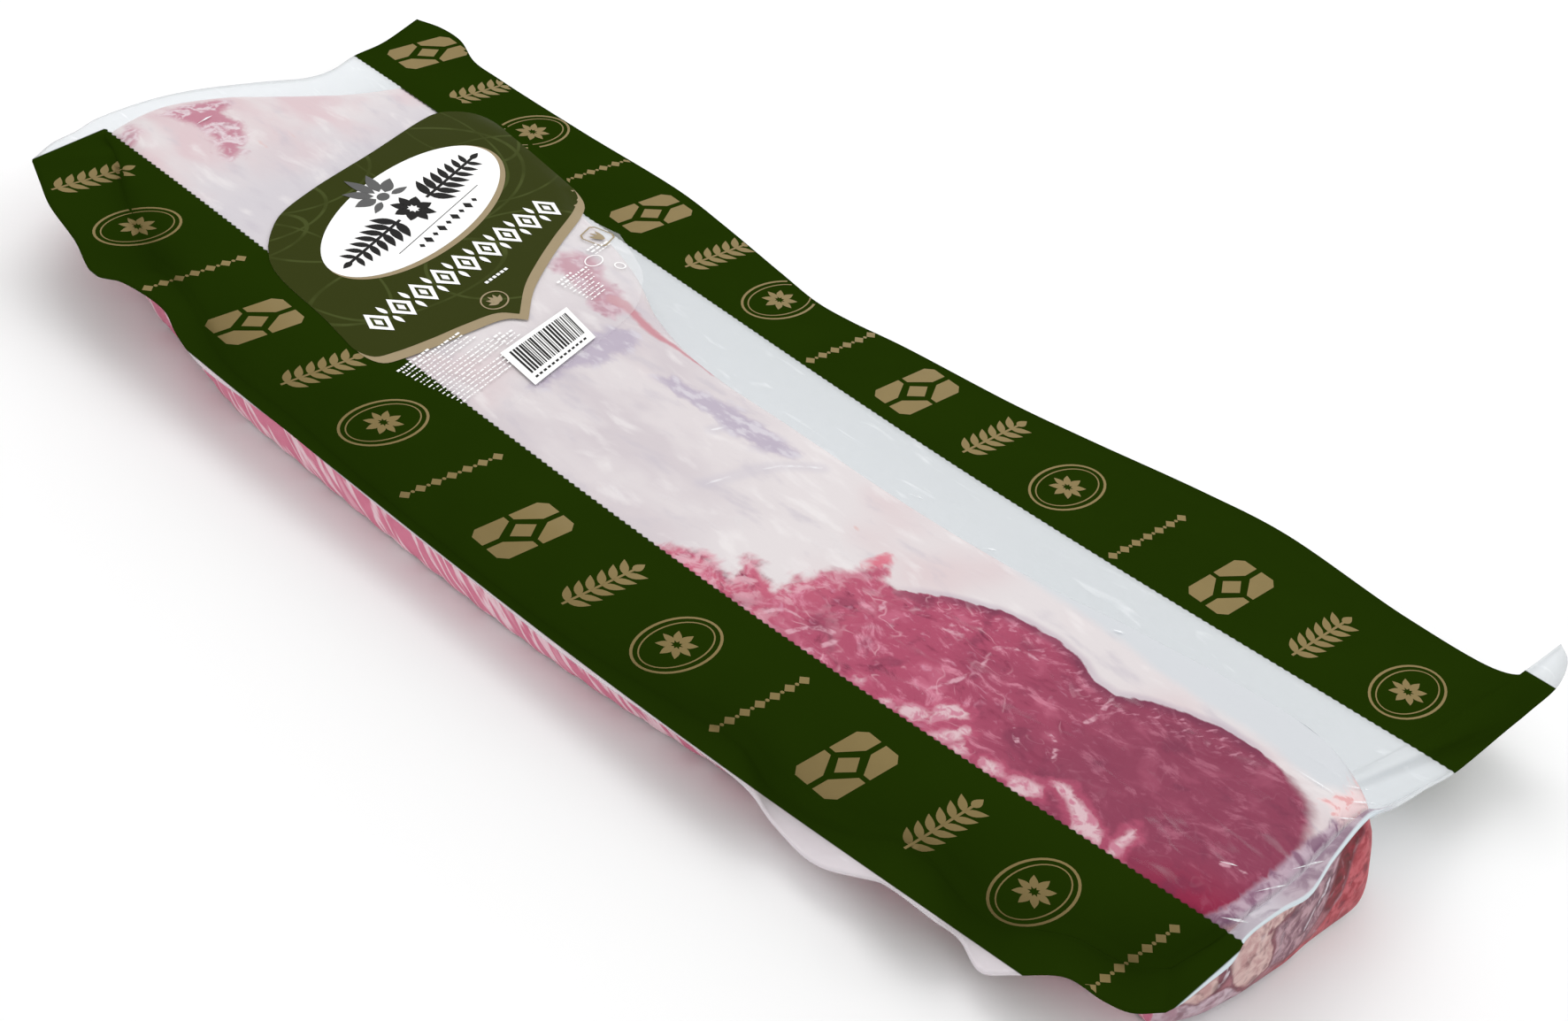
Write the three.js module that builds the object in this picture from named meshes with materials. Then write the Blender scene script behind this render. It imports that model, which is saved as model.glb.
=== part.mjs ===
// A whole pork loin sealed in a flat bag of clear film, with a label on top.
// Millimetres, +Z up. The pack lies flat: x runs from the label end to the cut end of the loin,
// y from the near long side to the far one, and z is the height above the table.
// The outlines below are measured from the near corner of the label end. At the end of the file
// everything is moved so that the origin is under the middle of the whole pack.

import * as THREE from 'three';

// ---- driving dimensions -------------------------------------------------------------------

const FILM_EDGE_THICKNESS = 1.0; // the two sealed films, with a little body
const LOIN_HEIGHT = 44.5; // table to the top of the meat
const LOIN_CROWN = 2; // how much higher the middle of the loin is than its shoulders
const FAR_FLANGE_HEIGHT = 19; // where the empty film leaves the far wall of the meat
const LIP_HEIGHT = 43; // where the film leaves the meat at the cut end

const NEAR_SHOULDER = 32; // width of the rounding from the wall up to the flat top
const FAR_SHOULDER = 23;
const LABEL_END_SHOULDER = 30;
const CUT_END_SHOULDER = 10;
const SHOULDER_POWER = 2.1; // 2 is a quarter ellipse, more is squarer

const WALL_UNDERCUT = 10; // how far the wall curves in before it meets the table
const WALL_POWER = 2.5;
const CUT_FACE_UNDERCUT = 6;
const CUT_FACE_LEAN = [4.5, 12.5]; // how far the cut face leans out below the lip, near and far
const CUT_FACE_LEAN_POWER = 0.6; // less than 1 brings the lean close under the lip

// Where one stretch of the pack passes into the next, [from, to].
const FAR_SIDE_Y = [105, 124];
const CUT_CORNER_X = [476, 498];
const CUT_FACE_X = [483, 497];
const CUT_FACE_Y = [35, 115];
const WIDE_FLANGE = [18, 60]; // a flange this wide starts to bend down at its edge, or bends fully
const FLANGE_BEND = 1.4;

const LABEL_GAP = 0.7;
const LABEL_THICKNESS = 0.5;

// How finely the surfaces are divided.
const STEPS_ALONG = 68;
const STEPS_ACROSS = 24;
const FLANGE_RINGS = 4;
const WALL_RINGS = 5;
const OUTWARD_SPAN = 2; // steps looked at on each side to find which way the wall faces
const LABEL_STEPS_DOWN = 20;
const LABEL_STEPS_ACROSS = 18;

// The film's outer edge, [x, y, z]. The film is flexible, so its height changes along the edge.
const NEAR_EDGE = [
  [-4.5, 3.5, 42], [3.5, 1, 38.5], [13, -2, 35], [32.5, -5, 31], [45.5, -7.5, 26], [61, -6, 30],
  [83, -5.5, 30.5], [92, -7.5, 27], [105, -8.5, 23], [149, -9, 23.5], [200.5, -9, 21],
  [246, -9.5, 20.5], [294, -10, 19.5], [339.5, -9.5, 21], [366.5, -9, 20],
  // the first small fin of clear film
  [374.5, -6, 12], [388.5, -8, 10.5], [396.5, -7.5, 11], [408.5, -4, 14], [419, -6, 20],
  // the second fin
  [435, -4.5, 19], [442.5, 2, 12], [453, -2, 10.5], [462, 1, 15],
  // the edge draws in round the corner of the meat
  [475, 7, 21], [487.5, 9, 20.5], [495, 11.5, 20.5], [503, 14.5, 25.5],
];
const CUT_END_EDGE = [
  [503, 14.5, 25.5], [506, 16, 31], [508.5, 22, 37], [510.5, 29, 42], [509, 37, 44],
  [510, 57, 44], [512, 69, 44], [508.5, 89, 44], [506, 114, 44], [507.5, 127, 41.5],
  [507.5, 138, 38.5], [506.5, 159, 31.5], [506, 182, 23.5], [507.5, 215, 23],
  // the corner of the film curls up
  [509, 229, 26], [512, 237, 36], [510, 241.5, 43], [505, 244, 45.5],
];
const FAR_EDGE = [
  [-44.5, 230, 21], [-32.5, 233.5, 21.5], [-20, 233.5, 21], [-12, 233.5, 16], [4.5, 233.5, 15],
  [54, 233.5, 15], [112, 233.5, 16], [135.5, 233.5, 13.5], [169, 233, 9], [188, 233, 6.5],
  [205.5, 233, 7.5], [231, 233.5, 10.5], [284.5, 235.5, 14], [319.5, 236, 18.5], [367.5, 238, 24.5],
  [401.5, 238, 28], [455, 239, 24.5], [490, 240.5, 25], [498, 241.5, 28],
  [502, 241, 35], [505, 244, 45.5],
];
const LABEL_END_EDGE = [
  [-4.5, 3.5, 42], [-15, 20, 38.5], [-23.5, 37, 34], [-32.5, 53.5, 30], [-40, 80.5, 25.5],
  [-42, 95.5, 23.5], [-40, 111, 23], [-35, 138, 21], [-30, 157.5, 20], [-31.5, 171.5, 19],
  [-36, 187, 19], [-38.5, 205, 19], [-44.5, 230, 21],
];

// The line round the loin where the empty film leaves the meat, [x, y].
const NEAR_WALL = [
  [7, 32.5], [26, 21], [52.5, 12], [71, 8], [88.5, 3.5], [120, -2], [145, -3], [183, -4.5],
  [262.5, -5], [306, -2], [339.5, 2], [394, 9], [446, 17.5], [477, 23.5], [495, 30],
];
const CUT_END_WALL = [
  [495, 30], [502, 41], [505, 70], [504, 92], [503, 112], [503.5, 124], [499, 131], [486.5, 131],
  [477, 129.5],
];
const FAR_WALL = [
  [12, 163], [23, 177], [48, 183], [87.5, 182], [109.5, 174], [124, 164.5], [146, 158.5],
  [168, 149], [190, 135.5], [210, 128.5], [254, 125], [341, 122.5], [371, 126], [395.5, 130.5],
  [444.5, 135], [477, 129.5],
];
const LABEL_END_WALL = [
  [7, 32.5], [-11.5, 40], [-18.5, 52.5], [-21, 69], [-16.5, 86], [-8, 100], [5, 122.5],
  [11.5, 142], [12, 163],
];

// Broad swells and hollows of the meat's top, a few millimetres each: middle, size and height.
const SWELLS = [
  { x: 52, y: 96, size: 48, height: 1.2 },
  { x: 219, y: 52, size: 52, height: 1.6 },
  { x: 236, y: 103, size: 23, height: -1.8 },
  { x: 368, y: 66, size: 39, height: 1.4 },
  { x: 418, y: 86, size: 14, height: -1.6 },
  { x: 464, y: 66, size: 35, height: 1.0 },
];

// The label's outline in four sides, [x, y], each from its first corner to its second. It has a
// pointed shield at the top and a clear panel below, and lies a little askew on the pack.
const LABEL_TOP_SIDE = [
  [90, 33], [80.5, 44], [72.5, 59.5], [62, 100], [52.5, 142], [51.5, 150.5], [56, 159],
  [65, 163.5],
];
const LABEL_FAR_SIDE = [
  [65, 163.5], [79, 163], [103, 158.5], [124, 153], [138, 148], [152, 142], [165.5, 135],
  [181, 122.5],
];
const LABEL_BOTTOM_SIDE = [
  [198.5, 15], [206.5, 19], [209, 27], [204, 54], [198, 91], [191.5, 108.5], [181, 122.5],
];
const LABEL_NEAR_SIDE = [
  [90, 33], [99, 27], [109.5, 23.5], [134, 20], [166, 16], [188, 13.5], [198.5, 15],
];

// ---- shape functions ----------------------------------------------------------------------

const clamp01 = (v) => Math.min(1, Math.max(0, v));
const lerp = (a, b, f) => a + (b - a) * f;
const ramp = (v, [from, to]) => clamp01((v - from) / (to - from));

// On the cut end, this share of the steps runs along the straight lip, and the rest go round the
// far corner of the meat. Each line takes its own share of its length for the lip.
const LIP_STEPS = 0.6;
const LIP_SHARE = { edge: 0.43, wall: 0.7 };

function alongLip(f, share) {
  if (f < LIP_STEPS) return (f / LIP_STEPS) * share;
  return share + ((f - LIP_STEPS) / (1 - LIP_STEPS)) * (1 - share);
}

function spline(points) {
  const nodes = points.map(([x, y, z = 0]) => new THREE.Vector3(x, y, z));
  const curve = new THREE.CatmullRomCurve3(nodes, false, 'centripetal');
  curve.arcLengthDivisions = 600;
  return curve;
}

const asSides = (near, cut, far, label, lipShare) => ({
  near: spline(near),
  cut: spline(cut),
  lipShare,
  far: spline(far),
  label: spline(label),
});

const edgeSides = asSides(NEAR_EDGE, CUT_END_EDGE, FAR_EDGE, LABEL_END_EDGE, LIP_SHARE.edge);
const wallSides = asSides(NEAR_WALL, CUT_END_WALL, FAR_WALL, LABEL_END_WALL, LIP_SHARE.wall);

// Steps are closer together at both ends of a side, where the surface bends most.
const crowd = (f, amount) => f - (amount * Math.sin(2 * Math.PI * f)) / (2 * Math.PI);
const alongAt = (i) => crowd(i / STEPS_ALONG, 0.3);
const acrossAt = (j) => crowd(j / STEPS_ACROSS, 0.55);

// A loop runs once round a four-sided frame: near side, cut end, far side, label end.
const LOOP = 2 * (STEPS_ALONG + STEPS_ACROSS);

function loopCell(n) {
  if (n < STEPS_ALONG) return [n, 0];
  if (n < STEPS_ALONG + STEPS_ACROSS) return [STEPS_ALONG, n - STEPS_ALONG];
  if (n < 2 * STEPS_ALONG + STEPS_ACROSS) return [2 * STEPS_ALONG + STEPS_ACROSS - n, STEPS_ACROSS];
  return [0, LOOP - n];
}

function sidePoint(sides, i, j) {
  if (j === 0) return sides.near.getPointAt(alongAt(i));
  if (j === STEPS_ACROSS) return sides.far.getPointAt(alongAt(i));
  if (i === 0) return sides.label.getPointAt(acrossAt(j));
  return sides.cut.getPointAt(alongLip(acrossAt(j), sides.lipShare));
}

const loopPoint = (sides, n) => sidePoint(sides, ...loopCell(n % LOOP));

// Fills a frame of four sides smoothly (a Coons patch): s runs along and t across. Each side is
// given by its point at that place, the corners in the order label near, cut near, label far and
// cut far.
function coons({ near, far, label, cut, corners }, s, t) {
  const [labelNear, cutNear, labelFar, cutFar] = corners;
  const nearCorner = labelNear.clone().lerp(cutNear, s);
  const farCorner = labelFar.clone().lerp(cutFar, s);
  const between = near.clone().lerp(far, t).add(label.clone().lerp(cut, s));
  return between.sub(nearCorner.lerp(farCorner, t));
}

// The height at which the film leaves the meat, round the loop of the wall.
function wallTopHeight(edgePoint, wallPoint) {
  const farSide = ramp(wallPoint.y, FAR_SIDE_Y) * (1 - ramp(wallPoint.x, CUT_CORNER_X));
  return lerp(Math.min(edgePoint.z, LIP_HEIGHT), FAR_FLANGE_HEIGHT, farSide);
}

// 0 at the wall, 1 on the flat top, rounded between.
function shoulder(distance, width) {
  const q = clamp01(distance / width);
  return (1 - (1 - q) ** SHOULDER_POWER) ** (1 / SHOULDER_POWER);
}

function swell(x, y) {
  return SWELLS.reduce((sum, w) => {
    const r2 = ((x - w.x) ** 2 + (y - w.y) ** 2) / w.size ** 2;
    return sum + w.height * Math.exp(-r2);
  }, 0);
}

// ---- the bag ------------------------------------------------------------------------------

const edgeLoop = Array.from({ length: LOOP }, (_, n) => loopPoint(edgeSides, n));
const wallLoop = Array.from({ length: LOOP }, (_, n) => {
  const point = loopPoint(wallSides, n);
  point.z = wallTopHeight(edgeLoop[n], point);
  return point;
});

const loopIndex = new Map(edgeLoop.map((_, n) => [loopCell(n).join(), n]));
const wallAt = (i, j) => wallLoop[loopIndex.get(`${i},${j}`)];

// The empty film between its edge and the meat. A wide stretch stays level near the meat and
// bends towards its edge.
function flangePoint(n, f) {
  const edge = edgeLoop[n];
  const wall = wallLoop[n];
  const point = edge.clone().lerp(wall, f);
  const reach = Math.hypot(edge.x - wall.x, edge.y - wall.y);
  const bend = 1 + FLANGE_BEND * ramp(reach, WIDE_FLANGE);
  point.z = lerp(wall.z, edge.z, (1 - f) ** bend);
  return point;
}

// The meat's top: the wall line fills in smoothly, and the rounded rise of all four shoulders
// lifts the middle to the loin's own height.
const wallCorners = [
  wallAt(0, 0), wallAt(STEPS_ALONG, 0), wallAt(0, STEPS_ACROSS), wallAt(STEPS_ALONG, STEPS_ACROSS),
];

function loinTopPoint(i, j) {
  const s = alongAt(i);
  const t = acrossAt(j);
  const wall = {
    near: wallAt(i, 0),
    far: wallAt(i, STEPS_ACROSS),
    label: wallAt(0, j),
    cut: wallAt(STEPS_ALONG, j),
    corners: wallCorners,
  };
  const point = coons(wall, s, t);
  const width = wall.near.distanceTo(wall.far);
  const length = wall.label.distanceTo(wall.cut);
  const cutEndShoulder = lerp(CUT_END_SHOULDER, FAR_SHOULDER, ramp(point.y, FAR_SIDE_Y));
  const rise =
    shoulder(t * width, NEAR_SHOULDER) *
    shoulder((1 - t) * width, FAR_SHOULDER) *
    shoulder(s * length, LABEL_END_SHOULDER) *
    shoulder((1 - s) * length, cutEndShoulder);
  const crown = LOIN_CROWN * (1 - (2 * t - 1) ** 2);
  point.z = lerp(point.z, LOIN_HEIGHT + crown + swell(point.x, point.y), rise);
  return point;
}

// Outward direction of the wall line, level with the table, evened out over a few steps.
function wallOutward(n) {
  const before = wallLoop[(n + LOOP - OUTWARD_SPAN) % LOOP];
  const after = wallLoop[(n + OUTWARD_SPAN) % LOOP];
  return new THREE.Vector3(after.y - before.y, before.x - after.x, 0).normalize();
}

function wallPoint(n, f) {
  const start = wallLoop[n];
  const angle = (f * Math.PI) / 2;
  const onCutFace = ramp(start.x, CUT_FACE_X);
  const fullLean = lerp(...CUT_FACE_LEAN, ramp(start.y, CUT_FACE_Y));
  const lean = fullLean * onCutFace * Math.sin(angle) ** CUT_FACE_LEAN_POWER;
  const depth = lerp(WALL_UNDERCUT, CUT_FACE_UNDERCUT, onCutFace);
  const undercut = depth * (1 - Math.cos(angle) ** (2 / WALL_POWER));
  const point = start.clone().addScaledVector(wallOutward(n), lean - undercut);
  point.z = (start.z - FILM_EDGE_THICKNESS) * (1 - Math.sin(angle) ** (2 / WALL_POWER));
  if (f === 1) point.z = 0;
  return point;
}

class Shell {
  constructor() {
    this.points = [];
    this.faces = [];
  }

  add(point) {
    return this.points.push(point) - 1;
  }

  quad(a, b, c, d) {
    this.faces.push([a, b, c], [a, c, d]);
  }

  // Joins two closed loops of the same length, the first outside the second.
  band(outer, inner) {
    outer.forEach((a, n) => {
      const m = (n + 1) % outer.length;
      this.quad(a, outer[m], inner[m], inner[n]);
    });
  }

  geometry() {
    const geometry = new THREE.BufferGeometry();
    const positions = this.points.flatMap((p) => [p.x, p.y, p.z]);
    geometry.setAttribute('position', new THREE.Float32BufferAttribute(positions, 3));
    geometry.setIndex(this.faces.flat());
    geometry.computeVertexNormals();
    return geometry;
  }
}

// Rings of the flange from the film's edge to the meat, moved down along the film's own normal
// for the lower film.
function flangeRings(lowered) {
  const grid = [];
  for (let r = 0; r <= FLANGE_RINGS; r += 1) {
    grid.push(edgeLoop.map((_, n) => flangePoint(n, r / FLANGE_RINGS)));
  }
  if (!lowered) return grid;
  return grid.map((ring, r) =>
    ring.map((point, n) => {
      const along = ring[(n + 1) % LOOP].clone().sub(ring[(n + LOOP - 1) % LOOP]);
      const inner = grid[Math.min(r + 1, FLANGE_RINGS)][n];
      const outer = grid[Math.max(r - 1, 0)][n];
      const normal = along.cross(inner.clone().sub(outer)).normalize();
      return point.clone().addScaledVector(normal, -FILM_EDGE_THICKNESS);
    }),
  );
}

function makeBag() {
  const shell = new Shell();

  const upper = flangeRings(false).map((ring) => ring.map((p) => shell.add(p)));
  for (let r = 0; r < FLANGE_RINGS; r += 1) shell.band(upper[r], upper[r + 1]);

  const top = [];
  for (let i = 0; i <= STEPS_ALONG; i += 1) {
    top.push([]);
    for (let j = 0; j <= STEPS_ACROSS; j += 1) {
      const n = loopIndex.get(`${i},${j}`);
      top[i].push(n === undefined ? shell.add(loinTopPoint(i, j)) : upper[FLANGE_RINGS][n]);
    }
  }
  for (let i = 0; i < STEPS_ALONG; i += 1) {
    for (let j = 0; j < STEPS_ACROSS; j += 1) {
      shell.quad(top[i][j], top[i + 1][j], top[i + 1][j + 1], top[i][j + 1]);
    }
  }

  const lower = flangeRings(true).map((ring) => ring.map((p) => shell.add(p)));
  shell.band(lower[0], upper[0]);
  for (let r = 0; r < FLANGE_RINGS; r += 1) shell.band(lower[r + 1], lower[r]);

  let previous = lower[FLANGE_RINGS];
  for (let k = 1; k <= WALL_RINGS; k += 1) {
    const ring = edgeLoop.map((_, n) => shell.add(wallPoint(n, k / WALL_RINGS)));
    shell.band(ring, previous);
    previous = ring;
  }
  const footprint = previous.map((a) => new THREE.Vector2(shell.points[a].x, shell.points[a].y));
  THREE.ShapeUtils.triangulateShape(footprint, []).forEach(([a, b, c]) => {
    shell.faces.push([previous[a], previous[c], previous[b]]);
  });
  return shell;
}

// Height of the bag's top at a place in plan, read off the faces that look up.
function topHeight(shell, x, y) {
  let height = -Infinity;
  for (const [a, b, c] of shell.faces) {
    const [p, q, r] = [shell.points[a], shell.points[b], shell.points[c]];
    const area = (q.x - p.x) * (r.y - p.y) - (r.x - p.x) * (q.y - p.y);
    if (area <= 0) continue;
    const u = ((x - p.x) * (r.y - p.y) - (r.x - p.x) * (y - p.y)) / area;
    const v = ((q.x - p.x) * (y - p.y) - (x - p.x) * (q.y - p.y)) / area;
    if (u < -1e-6 || v < -1e-6 || u + v > 1 + 1e-6) continue;
    height = Math.max(height, p.z + u * (q.z - p.z) + v * (r.z - p.z));
  }
  return height;
}

// ---- the label ----------------------------------------------------------------------------

function makeLabel(bag) {
  const shell = new Shell();
  const [top, far, bottom, near] = [
    LABEL_TOP_SIDE, LABEL_FAR_SIDE, LABEL_BOTTOM_SIDE, LABEL_NEAR_SIDE,
  ].map(spline);
  const corners = [near, far].flatMap((side) => [side.getPointAt(0), side.getPointAt(1)]);

  function pointAt(s, t) {
    const sides = {
      near: near.getPointAt(s),
      far: far.getPointAt(s),
      label: top.getPointAt(t),
      cut: bottom.getPointAt(t),
      corners,
    };
    return coons(sides, s, t);
  }

  // One skin of the label, a set height above the bag.
  function layer(lift) {
    const rows = [];
    for (let i = 0; i <= LABEL_STEPS_DOWN; i += 1) {
      rows.push([]);
      for (let j = 0; j <= LABEL_STEPS_ACROSS; j += 1) {
        const point = pointAt(i / LABEL_STEPS_DOWN, j / LABEL_STEPS_ACROSS);
        point.z = topHeight(bag, point.x, point.y) + lift;
        rows[i].push(shell.add(point));
      }
    }
    return rows;
  }

  const under = layer(LABEL_GAP);
  const over = layer(LABEL_GAP + LABEL_THICKNESS);
  const rim = (rows) => [
    ...rows.slice(0, -1).map((row) => row[0]),
    ...rows.at(-1).slice(0, -1),
    ...rows.slice(1).map((row) => row.at(-1)).reverse(),
    ...rows[0].slice(1).reverse(),
  ];
  for (let i = 0; i < LABEL_STEPS_DOWN; i += 1) {
    for (let j = 0; j < LABEL_STEPS_ACROSS; j += 1) {
      shell.quad(over[i][j], over[i + 1][j], over[i + 1][j + 1], over[i][j + 1]);
      shell.quad(under[i][j], under[i][j + 1], under[i + 1][j + 1], under[i + 1][j]);
    }
  }
  shell.band(rim(under), rim(over));
  return shell;
}

// ---- the pack -----------------------------------------------------------------------------

function namedMesh(name, geometry, color, roughness) {
  const material = new THREE.MeshStandardMaterial({ color, roughness, metalness: 0 });
  const mesh = new THREE.Mesh(geometry, material);
  mesh.name = name;
  return mesh;
}

const bagShell = makeBag();
const labelShell = makeLabel(bagShell);

const bag = namedMesh('bag', bagShell.geometry(), 0xdcc3c8, 0.25);
const label = namedMesh('label', labelShell.geometry(), 0x3e441e, 0.4);

const middle = new THREE.Box3().setFromObject(bag).getCenter(new THREE.Vector3());
const pack = new THREE.Group();
pack.add(bag, label);
[bag, label].forEach((mesh) => mesh.position.set(-middle.x, -middle.y, 0));

export default pack;
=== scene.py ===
"""A whole pork loin in a clear vacuum bag with green printed bands and a label, on a pale floor.

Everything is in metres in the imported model's frame. The outlines of the film, the meat and the
artwork are written in millimetres, measured from the near corner of the label end, and moved to
that frame by to_frame().
"""

import math

import bpy
import numpy as np
from mathutils import Matrix, Vector, noise
from mathutils.bvhtree import BVHTree
from mathutils.geometry import delaunay_2d_cdt


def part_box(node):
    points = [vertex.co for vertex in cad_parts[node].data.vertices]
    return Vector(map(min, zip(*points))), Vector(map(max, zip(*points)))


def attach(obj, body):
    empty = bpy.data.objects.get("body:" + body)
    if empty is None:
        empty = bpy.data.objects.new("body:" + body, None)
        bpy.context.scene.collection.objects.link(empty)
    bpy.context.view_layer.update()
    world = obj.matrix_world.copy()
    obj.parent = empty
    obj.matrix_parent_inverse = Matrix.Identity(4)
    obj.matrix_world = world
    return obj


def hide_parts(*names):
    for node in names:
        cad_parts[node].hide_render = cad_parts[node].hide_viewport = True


bl_info = {
    "name": "Vacuum-packed pork loin",
    "version": (1, 0, 0),
    "blender": (4, 5, 0),
    "location": "3D View > Sidebar > Pork loin",
    "description": "Builds the film, the meat, the label and the studio of a packed pork loin",
    "category": "Object",
}

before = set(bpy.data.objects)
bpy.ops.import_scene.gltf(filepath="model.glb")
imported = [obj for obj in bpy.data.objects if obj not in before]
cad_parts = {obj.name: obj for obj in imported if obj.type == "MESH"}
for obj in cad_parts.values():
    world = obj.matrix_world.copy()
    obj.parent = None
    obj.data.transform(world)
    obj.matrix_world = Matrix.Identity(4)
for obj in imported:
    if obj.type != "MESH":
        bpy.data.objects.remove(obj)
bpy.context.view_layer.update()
MM = 0.001

# ---- outlines, in millimetres --------------------------------------------------------------

# The film's outer edge, (x, y, z), one stretch for each side of the pack.
NEAR_EDGE = [
    (-4.5, 3.5, 42), (3.5, 1, 38.5), (13, -2, 35), (32.5, -5, 31), (45.5, -7.5, 26), (61, -6, 30),
    (83, -5.5, 30.5), (92, -7.5, 27), (105, -8.5, 23), (149, -9, 23.5), (200.5, -9, 21),
    (246, -9.5, 20.5), (294, -10, 19.5), (339.5, -9.5, 21), (366.5, -9, 20),
    (374.5, -6, 12), (388.5, -8, 10.5), (396.5, -7.5, 11), (408.5, -4, 14), (419, -6, 20),
    (435, -4.5, 19), (442.5, 2, 12), (453, -2, 10.5), (462, 1, 15),
    (475, 7, 21), (487.5, 9, 20.5), (495, 11.5, 20.5), (503, 14.5, 25.5),
]
CUT_END_EDGE = [
    (503, 14.5, 25.5), (506, 16, 31), (508.5, 22, 37), (510.5, 29, 42), (509, 37, 44),
    (510, 57, 44), (512, 69, 44), (508.5, 89, 44), (506, 114, 44), (507.5, 127, 41.5),
    (507.5, 138, 38.5), (506.5, 159, 31.5), (506, 182, 23.5), (507.5, 215, 23),
    (509, 229, 26), (512, 237, 36), (510, 241.5, 43), (505, 244, 45.5),
]
FAR_EDGE = [
    (-44.5, 230, 21), (-32.5, 233.5, 21.5), (-20, 233.5, 21), (-12, 233.5, 16), (4.5, 233.5, 15),
    (54, 233.5, 15), (112, 233.5, 16), (135.5, 233.5, 13.5), (169, 233, 9), (188, 233, 6.5),
    (205.5, 233, 7.5), (231, 233.5, 10.5), (284.5, 235.5, 14), (319.5, 236, 18.5),
    (367.5, 238, 24.5), (401.5, 238, 28), (455, 239, 24.5), (490, 240.5, 25), (498, 241.5, 28),
    (502, 241, 35), (505, 244, 45.5),
]
LABEL_END_EDGE = [
    (-4.5, 3.5, 42), (-15, 20, 38.5), (-23.5, 37, 34), (-32.5, 53.5, 30), (-40, 80.5, 25.5),
    (-42, 95.5, 23.5), (-40, 111, 23), (-35, 138, 21), (-30, 157.5, 20), (-31.5, 171.5, 19),
    (-36, 187, 19), (-38.5, 205, 19), (-44.5, 230, 21),
]

# The line round the loin where the empty film leaves the meat.
NEAR_WALL = [
    (7, 32.5), (26, 21), (52.5, 12), (71, 8), (88.5, 3.5), (120, -2), (145, -3), (183, -4.5),
    (262.5, -5), (306, -2), (339.5, 2), (394, 9), (446, 17.5), (477, 23.5), (495, 30),
]
CUT_END_WALL = [
    (495, 30), (502, 41), (505, 70), (504, 92), (503, 112), (503.5, 124), (499, 131),
    (486.5, 131), (477, 129.5),
]
FAR_WALL = [
    (12, 163), (23, 177), (48, 183), (87.5, 182), (109.5, 174), (124, 164.5), (146, 158.5),
    (168, 149), (190, 135.5), (210, 128.5), (254, 125), (341, 122.5), (371, 126), (395.5, 130.5),
    (444.5, 135), (477, 129.5),
]
LABEL_END_WALL = [
    (7, 32.5), (-11.5, 40), (-18.5, 52.5), (-21, 69), (-16.5, 86), (-8, 100), (5, 122.5),
    (11.5, 142), (12, 163),
]

# Broad swells and hollows of the meat's top: middle x and y, size, height.
SWELLS = [
    (52, 96, 48, 1.2), (219, 52, 52, 1.6), (236, 103, 23, -1.8),
    (368, 66, 39, 1.4), (418, 86, 14, -1.6), (464, 66, 35, 1.0),
]

# The dark red lean where the fat is trimmed away, from the near band round to the cut end. Its
# label end runs out in tongues.
LEAN_OUTLINE = [
    (280, 8), (289, 29), (295, 34), (299, 37), (304, 36.5), (308, 34), (313, 35), (312, 40), (309, 45),
    (312, 47.5), (318, 44), (325, 41), (327, 45), (325, 52), (328, 57), (331, 64), (336, 69), (337, 75),
    (341, 79), (344, 74), (349, 73), (355, 79), (364, 86), (375.5, 93.5), (385, 97), (396, 98.5),
    (408, 97), (415, 93.5), (424, 93.5), (432, 99),
    (443, 104), (454, 108), (464, 109), (474, 108), (483, 105), (491, 101), (496, 94), (500, 85),
    (503, 76), (508, 70), (512, 50), (512, 8),
]

# Red patches where lean shows through the fat near the label end and along the far side.
BLUSH_OUTLINES = [
    [(2, 30), (-4, 46), (2, 46), (8, 40), (13, 30)],
    [(-3, 60), (-5, 70), (-2, 84), (3, 88), (10, 80), (19, 81), (27, 76), (34, 69), (38, 60), (32, 59),
     (24, 64), (14, 65), (6, 62)],
    [(150, 115), (147, 122), (150, 128), (155, 131), (162, 130), (168, 124), (177, 123), (187, 117),
     (188, 108), (180, 106), (168, 112), (162, 111)],
    [(335, 73), (333.5, 79), (335.5, 86), (340, 84), (340.5, 77), (339, 73)],
]

# A thin streak of lean along the fat's far side.
STREAK_LINES = [
    [(180, 117), (185, 117.5), (190, 116.5), (199, 114.8)],
    [(184, 118), (190, 116.8), (199, 114.8), (206, 114), (211, 115.3), (217, 116), (223, 116.5),
     (230, 116.1)],
]

# Lilac membrane on the fat.
LILAC_OUTLINES = [
    [(203, 50), (196, 62), (193, 78), (190, 92), (190, 101), (194, 107), (200, 109), (206, 104),
     (208, 94), (208, 82), (205, 70), (208, 56)],
    [(221, 94), (224, 102), (235, 104), (249, 107), (267, 106), (282, 105), (283, 99), (273, 92.5),
     (258, 91.5), (247, 94), (236, 91.5)],
]

# Clumps of white fat in the lean, along the near band.
CLUMP_OUTLINES = [
    [(383, 32), (386, 37), (391, 38), (394, 36), (391, 31), (386, 30)],
    [(395, 33), (391, 42), (394, 47), (400, 48), (402, 45), (399, 41), (396, 38)],
    [(396, 31), (399, 35), (403, 43), (406, 43), (406, 36), (402, 31)],
    [(404, 32), (407, 37), (411, 34), (408, 30)],
    [(413, 35), (415, 37), (420, 38), (424, 35), (418, 31)],
    [(424, 37), (428, 40), (434, 41), (436, 38), (432, 32), (428, 30)],
    [(434, 45), (439, 48), (444, 46), (449, 44), (455, 42), (459, 38), (459, 33), (452, 33), (449, 34),
     (447, 38), (441, 42), (437, 42)],
    [(462, 33), (461, 39), (461, 45), (463, 50), (465, 47), (465, 41), (465, 33)],
    [(366, 32), (370, 34), (371, 31), (368, 30)],
    [(377, 31), (381, 34), (383, 30), (379, 29)],
]

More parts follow.
